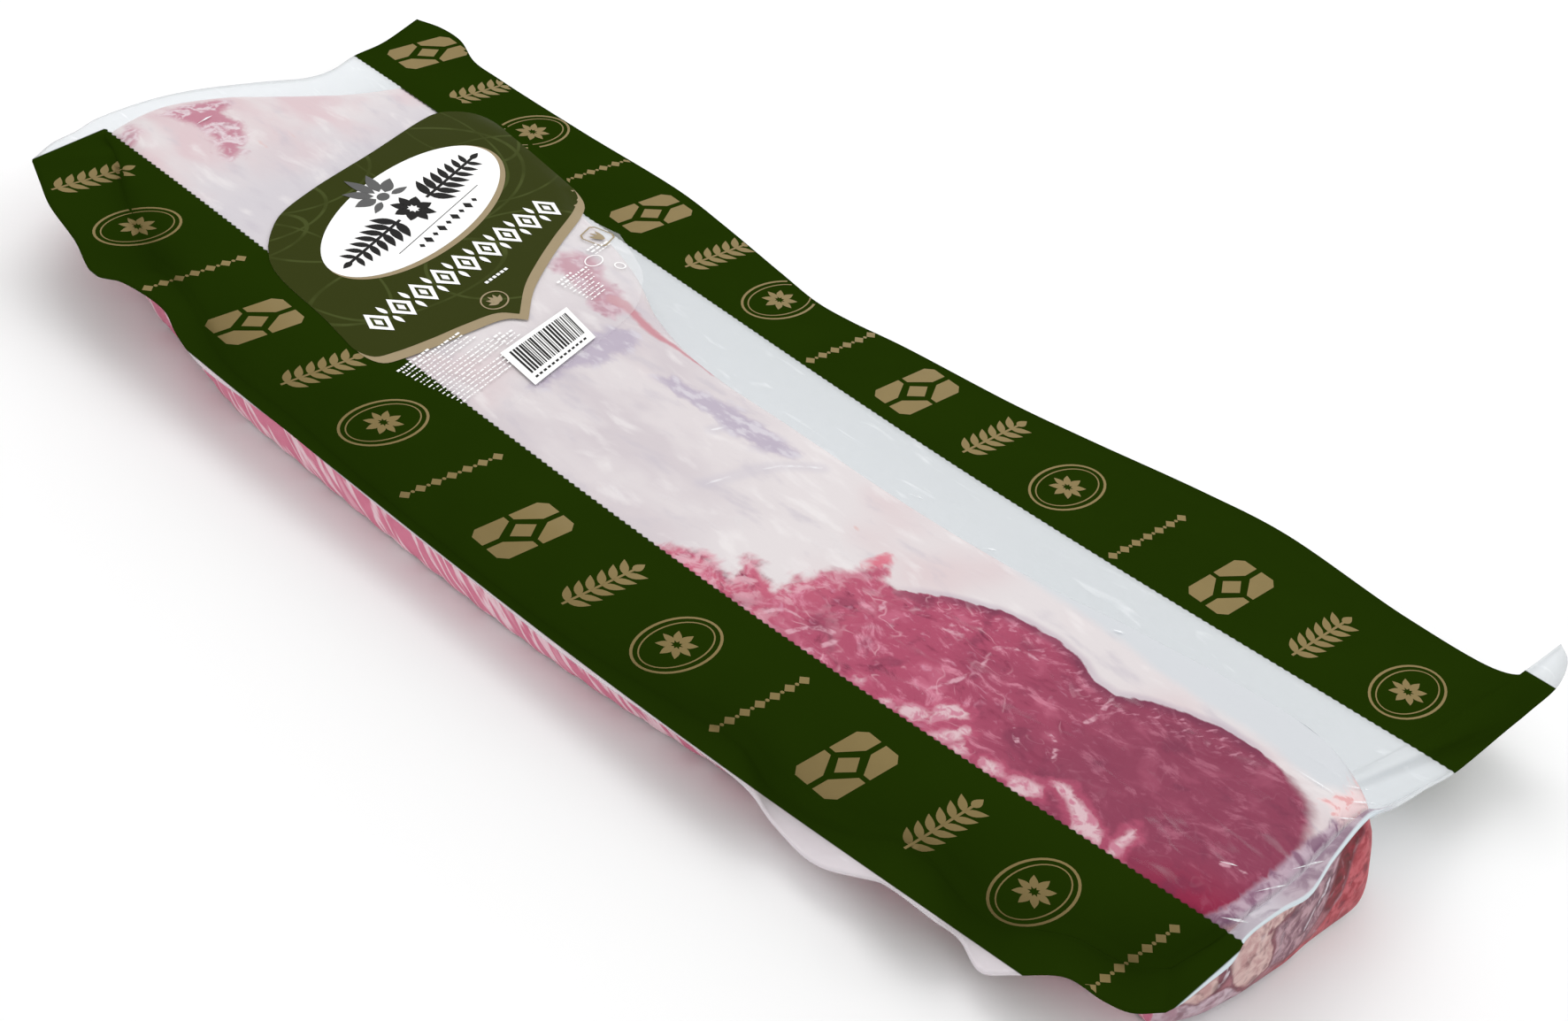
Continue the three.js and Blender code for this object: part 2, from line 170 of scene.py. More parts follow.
# Pale seams between the muscles of the lean.
LEAN_SEAMS = [
    [(329, 29), (331, 35), (335, 38), (340, 38)],
    [(340, 30), (342.5, 35), (346, 39.5), (350, 41)],
    [(346, 25), (350, 30), (353, 39.5)],
    [(351, 65.5), (352.5, 61), (356, 59.5), (359.5, 58.5), (358, 63)],
    [(370.5, 74.5), (377.5, 73)],
    [(370.5, 71), (376.5, 71)],
    [(371, 78), (377.5, 76.5)],
    [(399, 84.5), (392.5, 84), (387, 78), (388.5, 70.5), (389.5, 67)],
    [(368.5, 63), (372.5, 60.5), (374, 59)],
    [(389.5, 61.5), (388.5, 55.5), (386.5, 48.5), (385.5, 42.5)],
    [(412.5, 54), (417, 49.5), (422, 47.5)],
    [(420.5, 60.5), (425.5, 58.5), (429.5, 51)],
    [(423, 93), (424.5, 88), (425.5, 80), (425.5, 74)],
    [(488, 57.5), (492, 60), (497.5, 59)],
]

# Where the film stands off the meat's far side near the cut end, and looks grey.
VEIL_OUTLINE = [
    (325, 121), (350, 117), (384, 116), (402, 117), (425, 115), (445, 114), (462, 114.5), (478, 112.5),
    (489, 111), (494, 118), (490, 160), (325, 160),
]

# Salmon-pink fat at the far corner of the cut end.
CORNER_OUTLINE = [(494, 106), (497, 118), (494, 128), (506, 126), (507, 112), (503, 103)]

# Fine raised ridges in the fat.
CREASE_LINES = [
    [(274, 62), (277, 73), (279, 83), (283, 93), (291, 104)],
    [(255, 88), (257, 97), (262, 105)],
]

# The cut face, (y, z), with its far end at large y.
FACE_OUTLINES = {
    "beige": [
        [(48, 33), (54, 41), (62, 35), (64, 27), (69, 19), (70, 10), (62, 5), (54, 12), (49, 20), (47, 27)],
        [(62, 37), (70, 40), (80, 39), (88, 38), (96, 41), (99, 38), (94, 33), (88, 30), (78, 29), (66, 27)],
        [(28, 18), (38, 20), (45, 20), (47, 14), (40, 10), (30, 12)],
    ],
    "brown": [
        [(99, 39), (105, 36), (102, 25), (99, 16), (92, 9), (80, 6), (71, 10), (70, 20), (66, 27),
         (78, 28), (88, 29), (94, 33)],
    ],
    "crimson": [
        [(103, 44), (115, 44), (119, 39), (113, 31), (111, 24), (109, 17), (103, 12), (99, 16),
         (102, 25), (105, 35)],
        [(28, 26), (38, 31), (45, 31), (46, 24), (38, 20), (30, 20)],
    ],
    "red": [
        [(116, 46), (130, 46), (140, 20), (136, -6), (98, -6), (96, 4), (104, 12), (110, 18), (113, 31)],
        [(76, 5), (92, 7), (98, 4), (98, -4), (72, -4)],
    ],
    "lilac": [
        [(20, 12), (34, 11), (50, 12), (62, 3), (30, -2), (18, 4)],
    ],
}

# The printed film runs in a slight bow: (x, how far it is moved across), in the artwork's plane.
PRINT_BOW = [
    (-60, 0), (0, 0), (45, -0.9), (90, -2.6), (150, -5.2), (210, -6.9), (255, -8.0), (300, -8.5),
    (330, -8.3), (360, -7.6), (390, -6.5), (420, -5.0), (450, -3.3), (480, -1.6), (510, 0), (560, 0),
]

# Folds of film on the cut face, white with a painted highlight and ringed with painted shade, (y, z).
FACE_FOLDS = [
    [(45, 33), (46.5, 25), (48.6, 19), (46, 14)],
    [(99, 29), (97, 24), (92, 19.5), (88, 14)],
    [(94, 35), (88, 30), (78, 28)],
]

# ---- the pack's form: sizes in millimetres, shares and counts ---------------------------------

LOIN_HEIGHT = 44.5
LOIN_CROWN = 2
FAR_FLANGE_HEIGHT = 19
LIP_HEIGHT = 43
NEAR_SHOULDER = 32
FAR_SHOULDER = 23
LABEL_END_SHOULDER = 30
CUT_END_SHOULDER = 10
SHOULDER_POWER = 2.1
WALL_UNDERCUT = 10
WALL_POWER = 2.5
CUT_FACE_UNDERCUT = 6
CUT_FACE_LEAN = (4.5, 12.5)
CUT_FACE_LEAN_POWER = 0.6
FAR_SIDE_Y = (105, 124)
CUT_CORNER_X = (476, 498)
CUT_FACE_X = (483, 497)
CUT_FACE_Y = (35, 115)
WIDE_FLANGE = (18, 60)
FLANGE_BEND = 1.4
LIP_STEPS = 0.6
LIP_SHARE_OF_EDGE = 0.43
LIP_SHARE_OF_WALL = 0.7
CROWDED_ENDS = (0.3, 0.55)
EVENING_PARTS = 34
CURVE_STEPS = 50
FINE_STEPS = 400
LINE_STEPS = 40
FAR_AWAY = 25

# The artwork is measured as it looks from this point (the camera's place), projected on a level
# plane this high above the table, because the printed film was flat before it was drawn down.
EYE = (679.9, -505.3, 558.1)
ARTWORK_PLANE = 45.5
LABEL_PLANE = 47.5


def srgb(red, green, blue):
    """A colour from 0-255 screen values, as linear light."""
    values = [c / 255 for c in (red, green, blue)]
    return tuple(v / 12.92 if v <= 0.04045 else ((v + 0.055) / 1.055) ** 2.4 for v in values)


# ---- settings a user would change -----------------------------------------------------------


def length(name, description, default):
    """A length property, in metres, with its default given in millimetres."""
    return bpy.props.FloatProperty(
        name=name, description=description, default=default * MM, unit="LENGTH", precision=5
    )


def colour(name, description, default):
    """A colour property, with its default given in screen values."""
    return bpy.props.FloatVectorProperty(
        name=name, description=description, default=srgb(*default), subtype="COLOR", min=0, max=1
    )


class LoinSizes(bpy.types.PropertyGroup):
    """Sizes of the meat, the film and what is printed on it."""

    film_thickness: length("Film thickness", "Two sealed films at the empty margins", 1.0)
    meat_inset: length("Meat inset", "How far the meat lies under the film", 0.5)
    relief: length("Relief", "Height of the lumps and hollows of the meat", 1.0)
    label_lift: length("Label lift", "Gap between the film and the label", 0.15)
    print_lift: length("Print lift", "Gap between the film and the printed motifs", 0.12)
    near_band_edge: length("Near band edge", "Where the near band ends at the window", 35.1)
    far_band_edge: length("Far band edge", "Where the far band begins at the window", 153.0)
    near_band_outer: length("Near band outside", "Where the near band's print ends", -24.6)
    far_band_outer: length("Far band outside", "Where the far band's print ends", 220.3)
    band_tooth: length("Band tooth", "Width of one tooth of the band's pinked edge", 1.3)


class LoinColours(bpy.types.PropertyGroup):
    """Colours of the meat, the film and the print."""

    band_green: colour("Band green", "Dark green of the printed bands", (29, 46, 4))
    motif_gold: colour("Motif gold", "Dull gold of the motifs on the bands", (138, 120, 78))
    film_tint: colour("Film tint", "Colour of the empty clear film", (236, 240, 243))
    film_lilac: colour("Film lilac", "Clear film beside the meat", (246, 238, 243))
    veil: colour("Veil", "Meat seen through film that stands off it", (206, 209, 213))
    film_edge: colour("Film edge", "Bright cut edge of the film", (220, 232, 238))
    fat: colour("Fat", "Fat on top of the loin", (218, 211, 212))
    fat_pink: colour("Pink fat", "Pinker patches of fat", (212, 193, 195))
    fat_cool: colour("Cool fat", "Greyer fat towards the label end", (201, 196, 202))
    membrane: colour("Membrane", "Lilac membrane on the fat", (178, 167, 184))
    lean: colour("Lean", "Lean of the loin", (166, 66, 96))
    lean_dark: colour("Dark lean", "Darker lean near the cut end", (134, 50, 78))
    lean_light: colour("Light lean", "Paler lean at the trimmed edge", (192, 94, 118))
    lean_crimson: colour("Crimson lean", "Brightest red of the lean", (142, 26, 62))
    marbling: colour("Marbling", "Veins of fat in the lean", (226, 176, 188))
    blush: colour("Blush", "Red patches in the fat", (176, 84, 114))
    blush_pale: colour("Pale blush", "Pale parts of the red patches", (198, 154, 170))
    label_olive: colour("Label olive", "Olive of the label's shield", (50, 56, 14))
    label_olive_light: colour("Label olive arcs", "Faint arcs on the shield", (68, 76, 34))
    label_beige: colour("Label beige", "Beige edging and small marks", (160, 143, 112))
    label_white: colour("Label white", "White of the oval and the fine print", (252, 252, 251))
    label_grey: colour("Label grey", "Grey of the crest on the oval", (96, 96, 96))
    label_ink: colour("Label ink", "Near-black ink", (26, 25, 24))
    floor: colour("Floor", "Pale studio floor", (250, 250, 250))


# ---- shape ----------------------------------------------------------------------------------


def ramp(value, limits):
    """0 up to the lower limit, 1 from the upper one."""
    return np.clip((value - limits[0]) / (limits[1] - limits[0]), 0, 1)


def fall(value, limits):
    """1 up to the lower limit, 0 from the upper one."""
    return ramp(-value, (-limits[1], -limits[0]))


def curve(points):
    """A smooth line through a few points, as a function of places from 0 to 1 along it."""
    p = np.array([tuple(q) + (0,) * (3 - len(q)) for q in points], float)
    p = np.vstack([2 * p[0] - p[1], p, 2 * p[-1] - p[-2]])
    step = np.linspace(0, 1, CURVE_STEPS, endpoint=False)[:, None]
    pieces = []
    for a, b, c, d in zip(p[:-3], p[1:-2], p[2:-1], p[3:]):
        before, within, after = (np.linalg.norm(m - n) ** 0.5 for m, n in ((b, a), (c, b), (d, c)))
        leave = ((b - a) / before - (c - a) / (before + within) + (c - b) / within) * within
        arrive = ((c - b) / within - (d - b) / (within + after) + (d - c) / after) * within
        square = 3 * (c - b) - 2 * leave - arrive
        cube = 2 * (b - c) + leave + arrive
        pieces.append(b + leave * step + square * step**2 + cube * step**3)
    fine = np.vstack(pieces + [p[-2:-1]])
    reach = np.concatenate([[0], np.cumsum(np.linalg.norm(np.diff(fine, axis=0), axis=1))])
    reach /= reach[-1]
    return lambda f: np.stack([np.interp(f, reach, fine[:, k]) for k in range(3)], -1)


def crowd(f, amount):
    """Places from 0 to 1, crowded towards both ends."""
    return f - amount * np.sin(2 * np.pi * f) / (2 * np.pi)


def along_lip(f, share):
    """Places along the cut end: the lip takes LIP_STEPS of the steps and a share of the length."""
    after = share + (f - LIP_STEPS) / (1 - LIP_STEPS) * (1 - share)
    return np.where(f < LIP_STEPS, f / LIP_STEPS * share, after)


def shoulder(distance, width):
    """The rounded rise of the meat's top, from 0 at its border to 1 at this width."""
    q = np.clip(distance / width, 0, 1)
    return (1 - (1 - q) ** SHOULDER_POWER) ** (1 / SHOULDER_POWER)


def swell(x, y):
    """The height of the broad swells at a place."""
    return sum(h * np.exp(-((x - cx) ** 2 + (y - cy) ** 2) / size**2) for cx, cy, size, h in SWELLS)


class PackShape:
    """The bag and the meat as grids of points, at a chosen fineness."""

    def __init__(self, steps_along, steps_across):
        self.n, self.m = steps_along, steps_across
        self.s = crowd(np.arange(self.n + 1) / self.n, CROWDED_ENDS[0])
        self.t = crowd(np.arange(self.m + 1) / self.m, CROWDED_ENDS[1])
        edge = self.sides(NEAR_EDGE, CUT_END_EDGE, FAR_EDGE, LABEL_END_EDGE, LIP_SHARE_OF_EDGE)
        wall = self.sides(NEAR_WALL, CUT_END_WALL, FAR_WALL, LABEL_END_WALL, LIP_SHARE_OF_WALL)
        for name, points in wall.items():
            far = ramp(points[:, 1], FAR_SIDE_Y) * (1 - ramp(points[:, 0], CUT_CORNER_X))
            lip = np.minimum(edge[name][:, 2], LIP_HEIGHT)
            points[:, 2] = lip + (FAR_FLANGE_HEIGHT - lip) * far
        self.wall_sides = wall
        self.edge_loop = self.loop(edge)
        self.wall_loop = self.loop(wall)

    def sides(self, near, cut, far, label, lip_share):
        """The points along each of the four sides."""
        return {
            "near": curve(near)(self.s),
            "cut": curve(cut)(along_lip(self.t, lip_share)),
            "far": curve(far)(self.s),
            "label": curve(label)(self.t),
        }

    @staticmethod
    def loop(sides):
        """Once round: near side, cut end, far side and label end."""
        rows = [sides["near"][:-1], sides["cut"][:-1], sides["far"][:0:-1], sides["label"][:0:-1]]
        return np.vstack(rows)

    def border(self):
        """The grid places of the loop, in the same order."""
        n, m = self.n, self.m
        near = [(i, 0) for i in range(n)]
        cut = [(n, j) for j in range(m)]
        far = [(i, m) for i in range(n, 0, -1)]
        label = [(0, j) for j in range(m, 0, -1)]
        return near + cut + far + label

    def top(self):
        """The meat's top, as an array of points [along, across]."""
        side = self.wall_sides
        s, t = self.s[:, None, None], self.t[None, :, None]
        near, far = side["near"][:, None], side["far"][:, None]
        label, cut = side["label"][None], side["cut"][None]
        corners = [near[:1] + (near[-1:] - near[:1]) * s, far[:1] + (far[-1:] - far[:1]) * s]
        point = near * (1 - t) + far * t + label * (1 - s) + cut * s
        point = point - corners[0] * (1 - t) - corners[1] * t
        width = np.linalg.norm(near - far, axis=-1)
        run = np.linalg.norm(label - cut, axis=-1)
        s, t = s[..., 0], t[..., 0]
        y = point[..., 1]
        cut_width = CUT_END_SHOULDER + (FAR_SHOULDER - CUT_END_SHOULDER) * ramp(y, FAR_SIDE_Y)
        rise = shoulder(t * width, NEAR_SHOULDER) * shoulder((1 - t) * width, FAR_SHOULDER)
        rise = rise * shoulder(s * run, LABEL_END_SHOULDER) * shoulder((1 - s) * run, cut_width)
        height = LOIN_HEIGHT + LOIN_CROWN * (1 - (2 * t - 1) ** 2) + swell(point[..., 0], y)
        point[..., 2] += (height - point[..., 2]) * rise
        return point

    def flange(self, f):
        """A loop of the empty film, from its edge at 0 to the meat at 1."""
        edge, wall = self.edge_loop, self.wall_loop
        ring = edge + (wall - edge) * f
        reach = np.hypot(*(edge - wall)[:, :2].T)
        bend = 1 + FLANGE_BEND * ramp(reach, WIDE_FLANGE)
        ring[:, 2] = wall[:, 2] + (edge[:, 2] - wall[:, 2]) * (1 - f) ** bend
        return ring

    def outward(self):
        """Which way the wall faces, round the loop, evened out over about 20 mm."""
        span = max(2, self.n // EVENING_PARTS)
        run = np.roll(self.wall_loop, -span, 0) - np.roll(self.wall_loop, span, 0)
        side = np.stack([run[:, 1], -run[:, 0], np.zeros(len(run))], -1)
        return side / np.linalg.norm(side, axis=1, keepdims=True)

    def wall(self, f, below):
        """A loop of the wall, from a little below where the film leaves it down to the table."""
        start = self.wall_loop
        angle = f * np.pi / 2
        on_face = ramp(start[:, 0], CUT_FACE_X)
        lean = CUT_FACE_LEAN[0] + (CUT_FACE_LEAN[1] - CUT_FACE_LEAN[0]) * ramp(start[:, 1], CUT_FACE_Y)
        lean = lean * on_face * math.sin(angle) ** CUT_FACE_LEAN_POWER
        depth = WALL_UNDERCUT + (CUT_FACE_UNDERCUT - WALL_UNDERCUT) * on_face
        inward = depth * (1 - max(math.cos(angle), 0) ** (2 / WALL_POWER))
        ring = start + self.outward() * (lean - inward)[:, None]
        drop = 1 - math.sin(angle) ** (2 / WALL_POWER)
        ring[:, 2] = 0 if f == 1 else (start[:, 2] - below) * drop
        return ring


def corner_place():
    """Where the pack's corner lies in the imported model's frame, in metres."""
    edges = (NEAR_EDGE, CUT_END_EDGE, FAR_EDGE, LABEL_END_EDGE)
    reach = np.vstack([curve(side)(np.linspace(0, 1, FINE_STEPS)) for side in edges])
    middle = (reach.min(0) + reach.max(0)) / 2 * MM
    low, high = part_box("bag")
    return np.array(((low.x + high.x) / 2 - middle[0], (low.y + high.y) / 2 - middle[1], low.z))


CORNER = corner_place()


def to_frame(points):
    """Moves millimetres from the pack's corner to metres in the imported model's frame."""
    return np.asarray(points, float) * MM + CORNER


class Skin:
    """Collects points and faces of one mesh."""

    def __init__(self):
        self.points, self.faces, self.count = [], [], 0

    def add(self, points):
        """Adds points and gives their numbers."""
        points = np.asarray(points, float).reshape(-1, 3)
        self.points.append(points)
        self.count += len(points)
        return np.arange(self.count - len(points), self.count)

    def band(self, outer, inner):
        """Joins two closed loops, the first outside or below the second."""
        nxt = np.roll(np.arange(len(outer)), -1)
        self.faces += np.stack([outer, outer[nxt], inner[nxt], inner], -1).tolist()

    def sheet(self, grid):
        """Fills a grid of point numbers with quads."""
        quads = np.stack([grid[:-1, :-1], grid[1:, :-1], grid[1:, 1:], grid[:-1, 1:]], -1)
        self.faces += quads.reshape(-1, 4).tolist()

    def walls(self, shape, top_loop, below, rings):
        """Adds the wall under a loop and the flat underside; gives the loops of the wall."""
        walls = [self.add(shape.wall(f, below)) for f in np.linspace(0, 1, rings + 1)[1:]]
        for lower, upper in zip(walls, [top_loop] + walls):
            self.band(lower, upper)
        self.faces.append(walls[-1][::-1].tolist())
        return walls

    def all_points(self):
        """All the points so far, in the order of their numbers."""
        return np.vstack(self.points)


def make_object(name, points, faces, material, smooth=True):
    """A mesh object in the scene, with one material."""
    mesh = bpy.data.meshes.new(name)
    mesh.from_pydata(np.asarray(points).tolist(), [], faces)
    mesh.update()
    if mesh.validate():
        raise RuntimeError(f"{name} has faulty faces")
    mesh.shade_smooth() if smooth else mesh.shade_flat()
    mesh.materials.append(material)
    made = bpy.data.objects.new(name, mesh)
    bpy.context.scene.collection.objects.link(made)
    return made


def set_values(obj, name, values):
    """Stores one number for each point of the mesh, for its material to read."""
    obj.data.attributes.new(name, "FLOAT", "POINT").data.foreach_set("value", np.asarray(values, np.float32))


def set_vectors(obj, name, vectors):
    """Stores one vector for each point of the mesh, for its material to read."""
    flat = np.asarray(vectors, np.float32).ravel()
    obj.data.attributes.new(name, "FLOAT_VECTOR", "POINT").data.foreach_set("vector", flat)


def normals_of(points, faces):
    """The normals of a mesh at its points."""
    mesh = bpy.data.meshes.new("measure")
    mesh.from_pydata(points.tolist(), [], faces)
    normals = np.zeros(len(points) * 3, np.float32)
    mesh.vertex_normals.foreach_get("vector", normals)
    bpy.data.meshes.remove(mesh)
    return normals.reshape(-1, 3).astype(float)


def seen_flat(points, height):
    """Where points look to be on a level plane, from the eye."""
    eye = np.array(EYE)
    t = (eye[2] - height) / (eye[2] - points[:, 2:3])
    return eye[:2] + (points[:, :2] - eye[:2]) * t


def distance_inside(xy, outline):
    """Distance in from a closed outline, negative outside it."""
    a = np.asarray(outline, float)
    b = np.roll(a, -1, 0)
    best = np.full(len(xy), 1e9)
    inside = np.zeros(len(xy), bool)
    for p, q in zip(a, b):
        side = q - p
        f = np.clip(((xy - p) @ side) / (side @ side), 0, 1)
        best = np.minimum(best, np.linalg.norm(xy - p - f[:, None] * side, axis=1))
        crosses = (p[1] > xy[:, 1]) != (q[1] > xy[:, 1])
        at = p[0] + (xy[:, 1] - p[1]) * side[0] / (side[1] if side[1] else 1e-9)
        inside ^= crosses & (xy[:, 0] < at)
    return np.where(inside, best, -best)


def inside_any(xy, outlines):
    """Distance in from the nearest of several outlines, kept within FAR_AWAY."""
    best = np.max([distance_inside(xy, outline) for outline in outlines], axis=0)
    return np.clip(best, -FAR_AWAY, FAR_AWAY)


def distance_from_lines(xy, lines):
    """Distance from the nearest of several open lines, kept within FAR_AWAY."""
    best = np.full(len(xy), float(FAR_AWAY))
    for line in lines:
        for p in curve(line)(np.linspace(0, 1, LINE_STEPS))[:, :2]:
            best = np.minimum(best, np.linalg.norm(xy - p, axis=1))
    return best


def print_bow(x):
    """How far the print is moved across the pack at these places along it."""
    line = curve(PRINT_BOW)(np.linspace(0, 1, FINE_STEPS))
    return np.interp(x, line[:, 0], line[:, 1])


def bumpy(points, wave, seed=0.0):
    """Smooth noise from -1 to 1, with lumps about one wavelength (mm) across."""
    return np.array([noise.noise(Vector(p) / wave + Vector((seed, 0, 0))) for p in points])


# ---- shader expressions ---------------------------------------------------------------------


def adds_math(operation, reflected=False):
    """A Python operator that adds a Math node; reflected, the wire is the second value."""

    def act(wire, other):
        values = (other, wire) if reflected else (wire, other)
        return wire.look.math(operation, *values)

    return act


class Wire:
    """A socket of a node tree, used like a number in Python expressions."""

    def __init__(self, look, socket):
        self.look, self.socket = look, socket

    def __abs__(self):
        return self.look.math("ABSOLUTE", self)

    __add__, __radd__ = adds_math("ADD"), adds_math("ADD", reflected=True)
    __sub__, __rsub__ = adds_math("SUBTRACT"), adds_math("SUBTRACT", reflected=True)
    __mul__, __rmul__ = adds_math("MULTIPLY"), adds_math("MULTIPLY", reflected=True)
    __truediv__, __rtruediv__ = adds_math("DIVIDE"), adds_math("DIVIDE", reflected=True)
    __pow__, __rpow__ = adds_math("POWER"), adds_math("POWER", reflected=True)


class Look:
    """One material and its node tree."""

    def __init__(self, name):
        self.material = bpy.data.materials.new(name)
        self.material.use_nodes = True
        self.tree = self.material.node_tree
        self.tree.nodes.clear()
        self.output = self.tree.nodes.new("ShaderNodeOutputMaterial")

    def node(self, kind, settings=None, sockets=None):
        """Adds a node: its settings first, then the values or links of its sockets."""
        made = self.tree.nodes.new(kind)
        for key, value in (settings or {}).items():
            setattr(made, key, value)
        for key, value in (sockets or {}).items():
            self.plug(made, key, value)
        return made

    def plug(self, node, key, value):
        """Sets or links one socket, given by its number, identifier or name."""
        if isinstance(key, int):
            socket = node.inputs[key]
        else:
            match = [s for s in node.inputs if s.identifier == key] or [node.inputs[key]]
            socket = match[0]
        if isinstance(value, Wire):
            self.tree.links.new(value.socket, socket)
        elif socket.type == "RGBA":
            socket.default_value = (*tuple(value)[:3], 1)
        else:
            socket.default_value = value

    def wire(self, node, output=0):
        """One of a node's outputs, by its number or name."""
        return Wire(self, node.outputs[output])

    def math(self, operation, *values):
        """One step of number maths; the operators of Wire come here."""
        return self.wire(self.node("ShaderNodeMath", {"operation": operation}, dict(enumerate(values))))

    def most(self, a, b):
        """The greater of two numbers."""
        return self.math("MAXIMUM", a, b)

    def step(self, value, start, end):
        """0 up to start, 1 from end, smooth between; start may be the larger."""
        sockets = {"Value": value, "From Min": start, "From Max": end}
        return self.wire(self.node("ShaderNodeMapRange", {"interpolation_type": "SMOOTHSTEP"}, sockets))

    def mix(self, first, second, factor):
        """A colour from first to second."""
        sockets = {"Factor_Float": factor, "A_Color": first, "B_Color": second}
        made = self.node("ShaderNodeMix", {"data_type": "RGBA"}, sockets)
        return Wire(self, next(s for s in made.outputs if s.identifier == "Result_Color"))

    def between(self, first, second, factor):
        """A colour from one of the named tones to another."""
        return self.mix(TONES[first], TONES[second], factor)

    def tinted(self, base, *layers):
        """A colour moved towards named tones in turn, each by its own amount."""
        for tone, amount in layers:
            base = self.mix(base, TONES[tone], amount)
        return base

    def vector(self, operation, *values):
        """One step of vector maths."""
        made = self.node("ShaderNodeVectorMath", {"operation": operation}, dict(enumerate(values)))
        return self.wire(made)

    def scaled(self, vector, by):
        """A vector with each part multiplied by a number of its own."""
        return self.vector("MULTIPLY", vector, by)

    def split(self, vector):
        """The three numbers of a vector."""
        made = self.node("ShaderNodeSeparateXYZ", None, {"Vector": vector})
        return [self.wire(made, k) for k in range(3)]

    def join(self, x, y, z=0.0):
        """A vector from three numbers."""
        return self.wire(self.node("ShaderNodeCombineXYZ", None, {0: x, 1: y, 2: z}))

    def stored(self, name, output="Fac"):
        """A number stored on the mesh, or a vector where the output is "Vector"."""
        return self.wire(self.node("ShaderNodeAttribute", {"attribute_name": name}), output)

    def frayed(self, name, texture, reach):
        """A stored distance, made uneven by a texture."""
        return self.stored(name) + (texture - 0.5) * reach

    def place(self):
        """The point on the surface, in millimetres."""
        made = self.node("ShaderNodeTexCoord")
        return self.scaled(self.wire(made, "Object"), (1 / MM, 1 / MM, 1 / MM))

    def noise(self, vector, wave, detail=2.0, roughness=0.5, warp=None, stretch=None):
        """Noise about 0 to 1 with lumps about one wavelength across.

        The vector may first be warped, by a wavelength and an amount, and then stretched.
        """
        vector = self.warped(vector, *warp) if warp else vector
        vector = self.scaled(vector, stretch) if stretch else vector
        sockets = {"Vector": vector, "Scale": 1 / wave, "Detail": detail, "Roughness": roughness}
        return self.wire(self.node("ShaderNodeTexNoise", None, sockets), "Fac")

    def warped(self, vector, wave, amount):
        """A vector pushed about by noise, by up to amount."""
        sockets = {"Vector": vector, "Scale": 1 / wave, "Detail": 1.0}
        push = self.wire(self.node("ShaderNodeTexNoise", None, sockets), "Color")
        push = self.vector("SUBTRACT", push, (0.5, 0.5, 0.5))
        return self.vector("ADD", vector, self.scaled(push, (2 * amount,) * 3))

    def bump(self, height, distance_mm, strength):
        """A surface direction tilted by a height, with its relief in millimetres."""
        sockets = {"Height": height, "Distance": distance_mm * MM, "Strength": strength}
        return self.wire(self.node("ShaderNodeBump", None, sockets))

    def finish(self, shader):
        """Uses a shader node as the material's surface."""
        self.tree.links.new(shader.outputs[0], self.output.inputs["Surface"])
        return self.material

    def principled(self, sockets):
        """A principled shader with these values or wires."""
        return self.node("ShaderNodeBsdfPrincipled", None, sockets)

    def surface(self, sockets):
        """Uses one principled shader as the material's surface."""
        return self.finish(self.principled(sockets))


# ---- materials ------------------------------------------------------------------------------

# Tones that aren't settings, in screen values.
SCREEN_TONES = {
    # the film's lip at the cut end
    "lip_dark": (128, 104, 128), "lip_pale": (200, 190, 200),
    "lip_clear": (226, 222, 228), "lip_pink": (168, 118, 136),
    # fat
    "fat_dull": (203, 194, 198), "fat_rosy": (212, 190, 194), "fat_light": (230, 225, 225),
    "fat_shadow": (190, 183, 192), "fat_warm": (216, 166, 158), "fat_shelf_shade": (184, 168, 180),
    "crease_shade": (196, 190, 199), "crease_light": (240, 240, 242), "membrane_pale": (209, 204, 212),
    "blush_milky": (218, 200, 207), "blush_deep": (156, 44, 88), "blush_red": (214, 66, 98),
    "streak": (192, 124, 134), "salmon_pale": (236, 208, 208), "salmon": (224, 158, 158),
    # lean
    "fibre_dark": (124, 30, 64), "fibre_light": (208, 132, 154),
    "lump_dark": (112, 36, 66), "lump_light": (194, 104, 130), "seam": (216, 168, 182),
    "scratch": (206, 146, 168), "frost": (222, 180, 190), "edge_shade": (100, 38, 66),
    "hatch": (212, 148, 168), "clump_rim": (180, 78, 108), "clump_pale": (216, 186, 192),
    "clump_pink": (196, 126, 146), "skin_dark": (134, 98, 122), "skin_pale": (190, 168, 182),
    # the near side
    "side_pink": (226, 140, 164), "side_red": (204, 104, 134),
    "side_seam": (246, 222, 228), "side_pale": (240, 196, 208),
    # the cut face
    "face_light": (176, 112, 120), "face_dark": (146, 92, 102), "face_rim": (110, 56, 66),
    "face_spot": (88, 30, 46), "face_skin": (206, 190, 200),
    "fold_shade": (70, 30, 46), "fold_highlight": (226, 218, 226),
    "red_a": (154, 42, 54), "red_b": (192, 92, 100),
    "brown_a": (122, 82, 96), "brown_b": (184, 148, 156),
    "lilac_a": (176, 140, 152), "lilac_b": (206, 184, 194),
    "beige_a": (216, 186, 180), "beige_b": (190, 148, 146),
    "crimson_a": (90, 0, 12), "crimson_b": (132, 14, 36),
}
TONES = {name: srgb(*screen) for name, screen in SCREEN_TONES.items()}
# White that the clear film turns along its streaks: painted sheen.
SHEEN_WHITE = (0.93, 0.95, 0.97)
# White of the film's creases: painted glints.
CREASE_GLINT_WHITE = (0.94, 0.96, 0.98)
PANEL_CLEAR = (0.93, 0.92, 0.94)
FILM_IOR = 1.45
MEAT_IOR = 1.42

# The bands' print, in millimetres.
PRINT_BLUR = 0.25
END_BLUR = 0.3
TOOTH_DEPTH = 0.35
NEAR_BAND_SLANT = 0.125
NEAR_BAND_END = 511.3


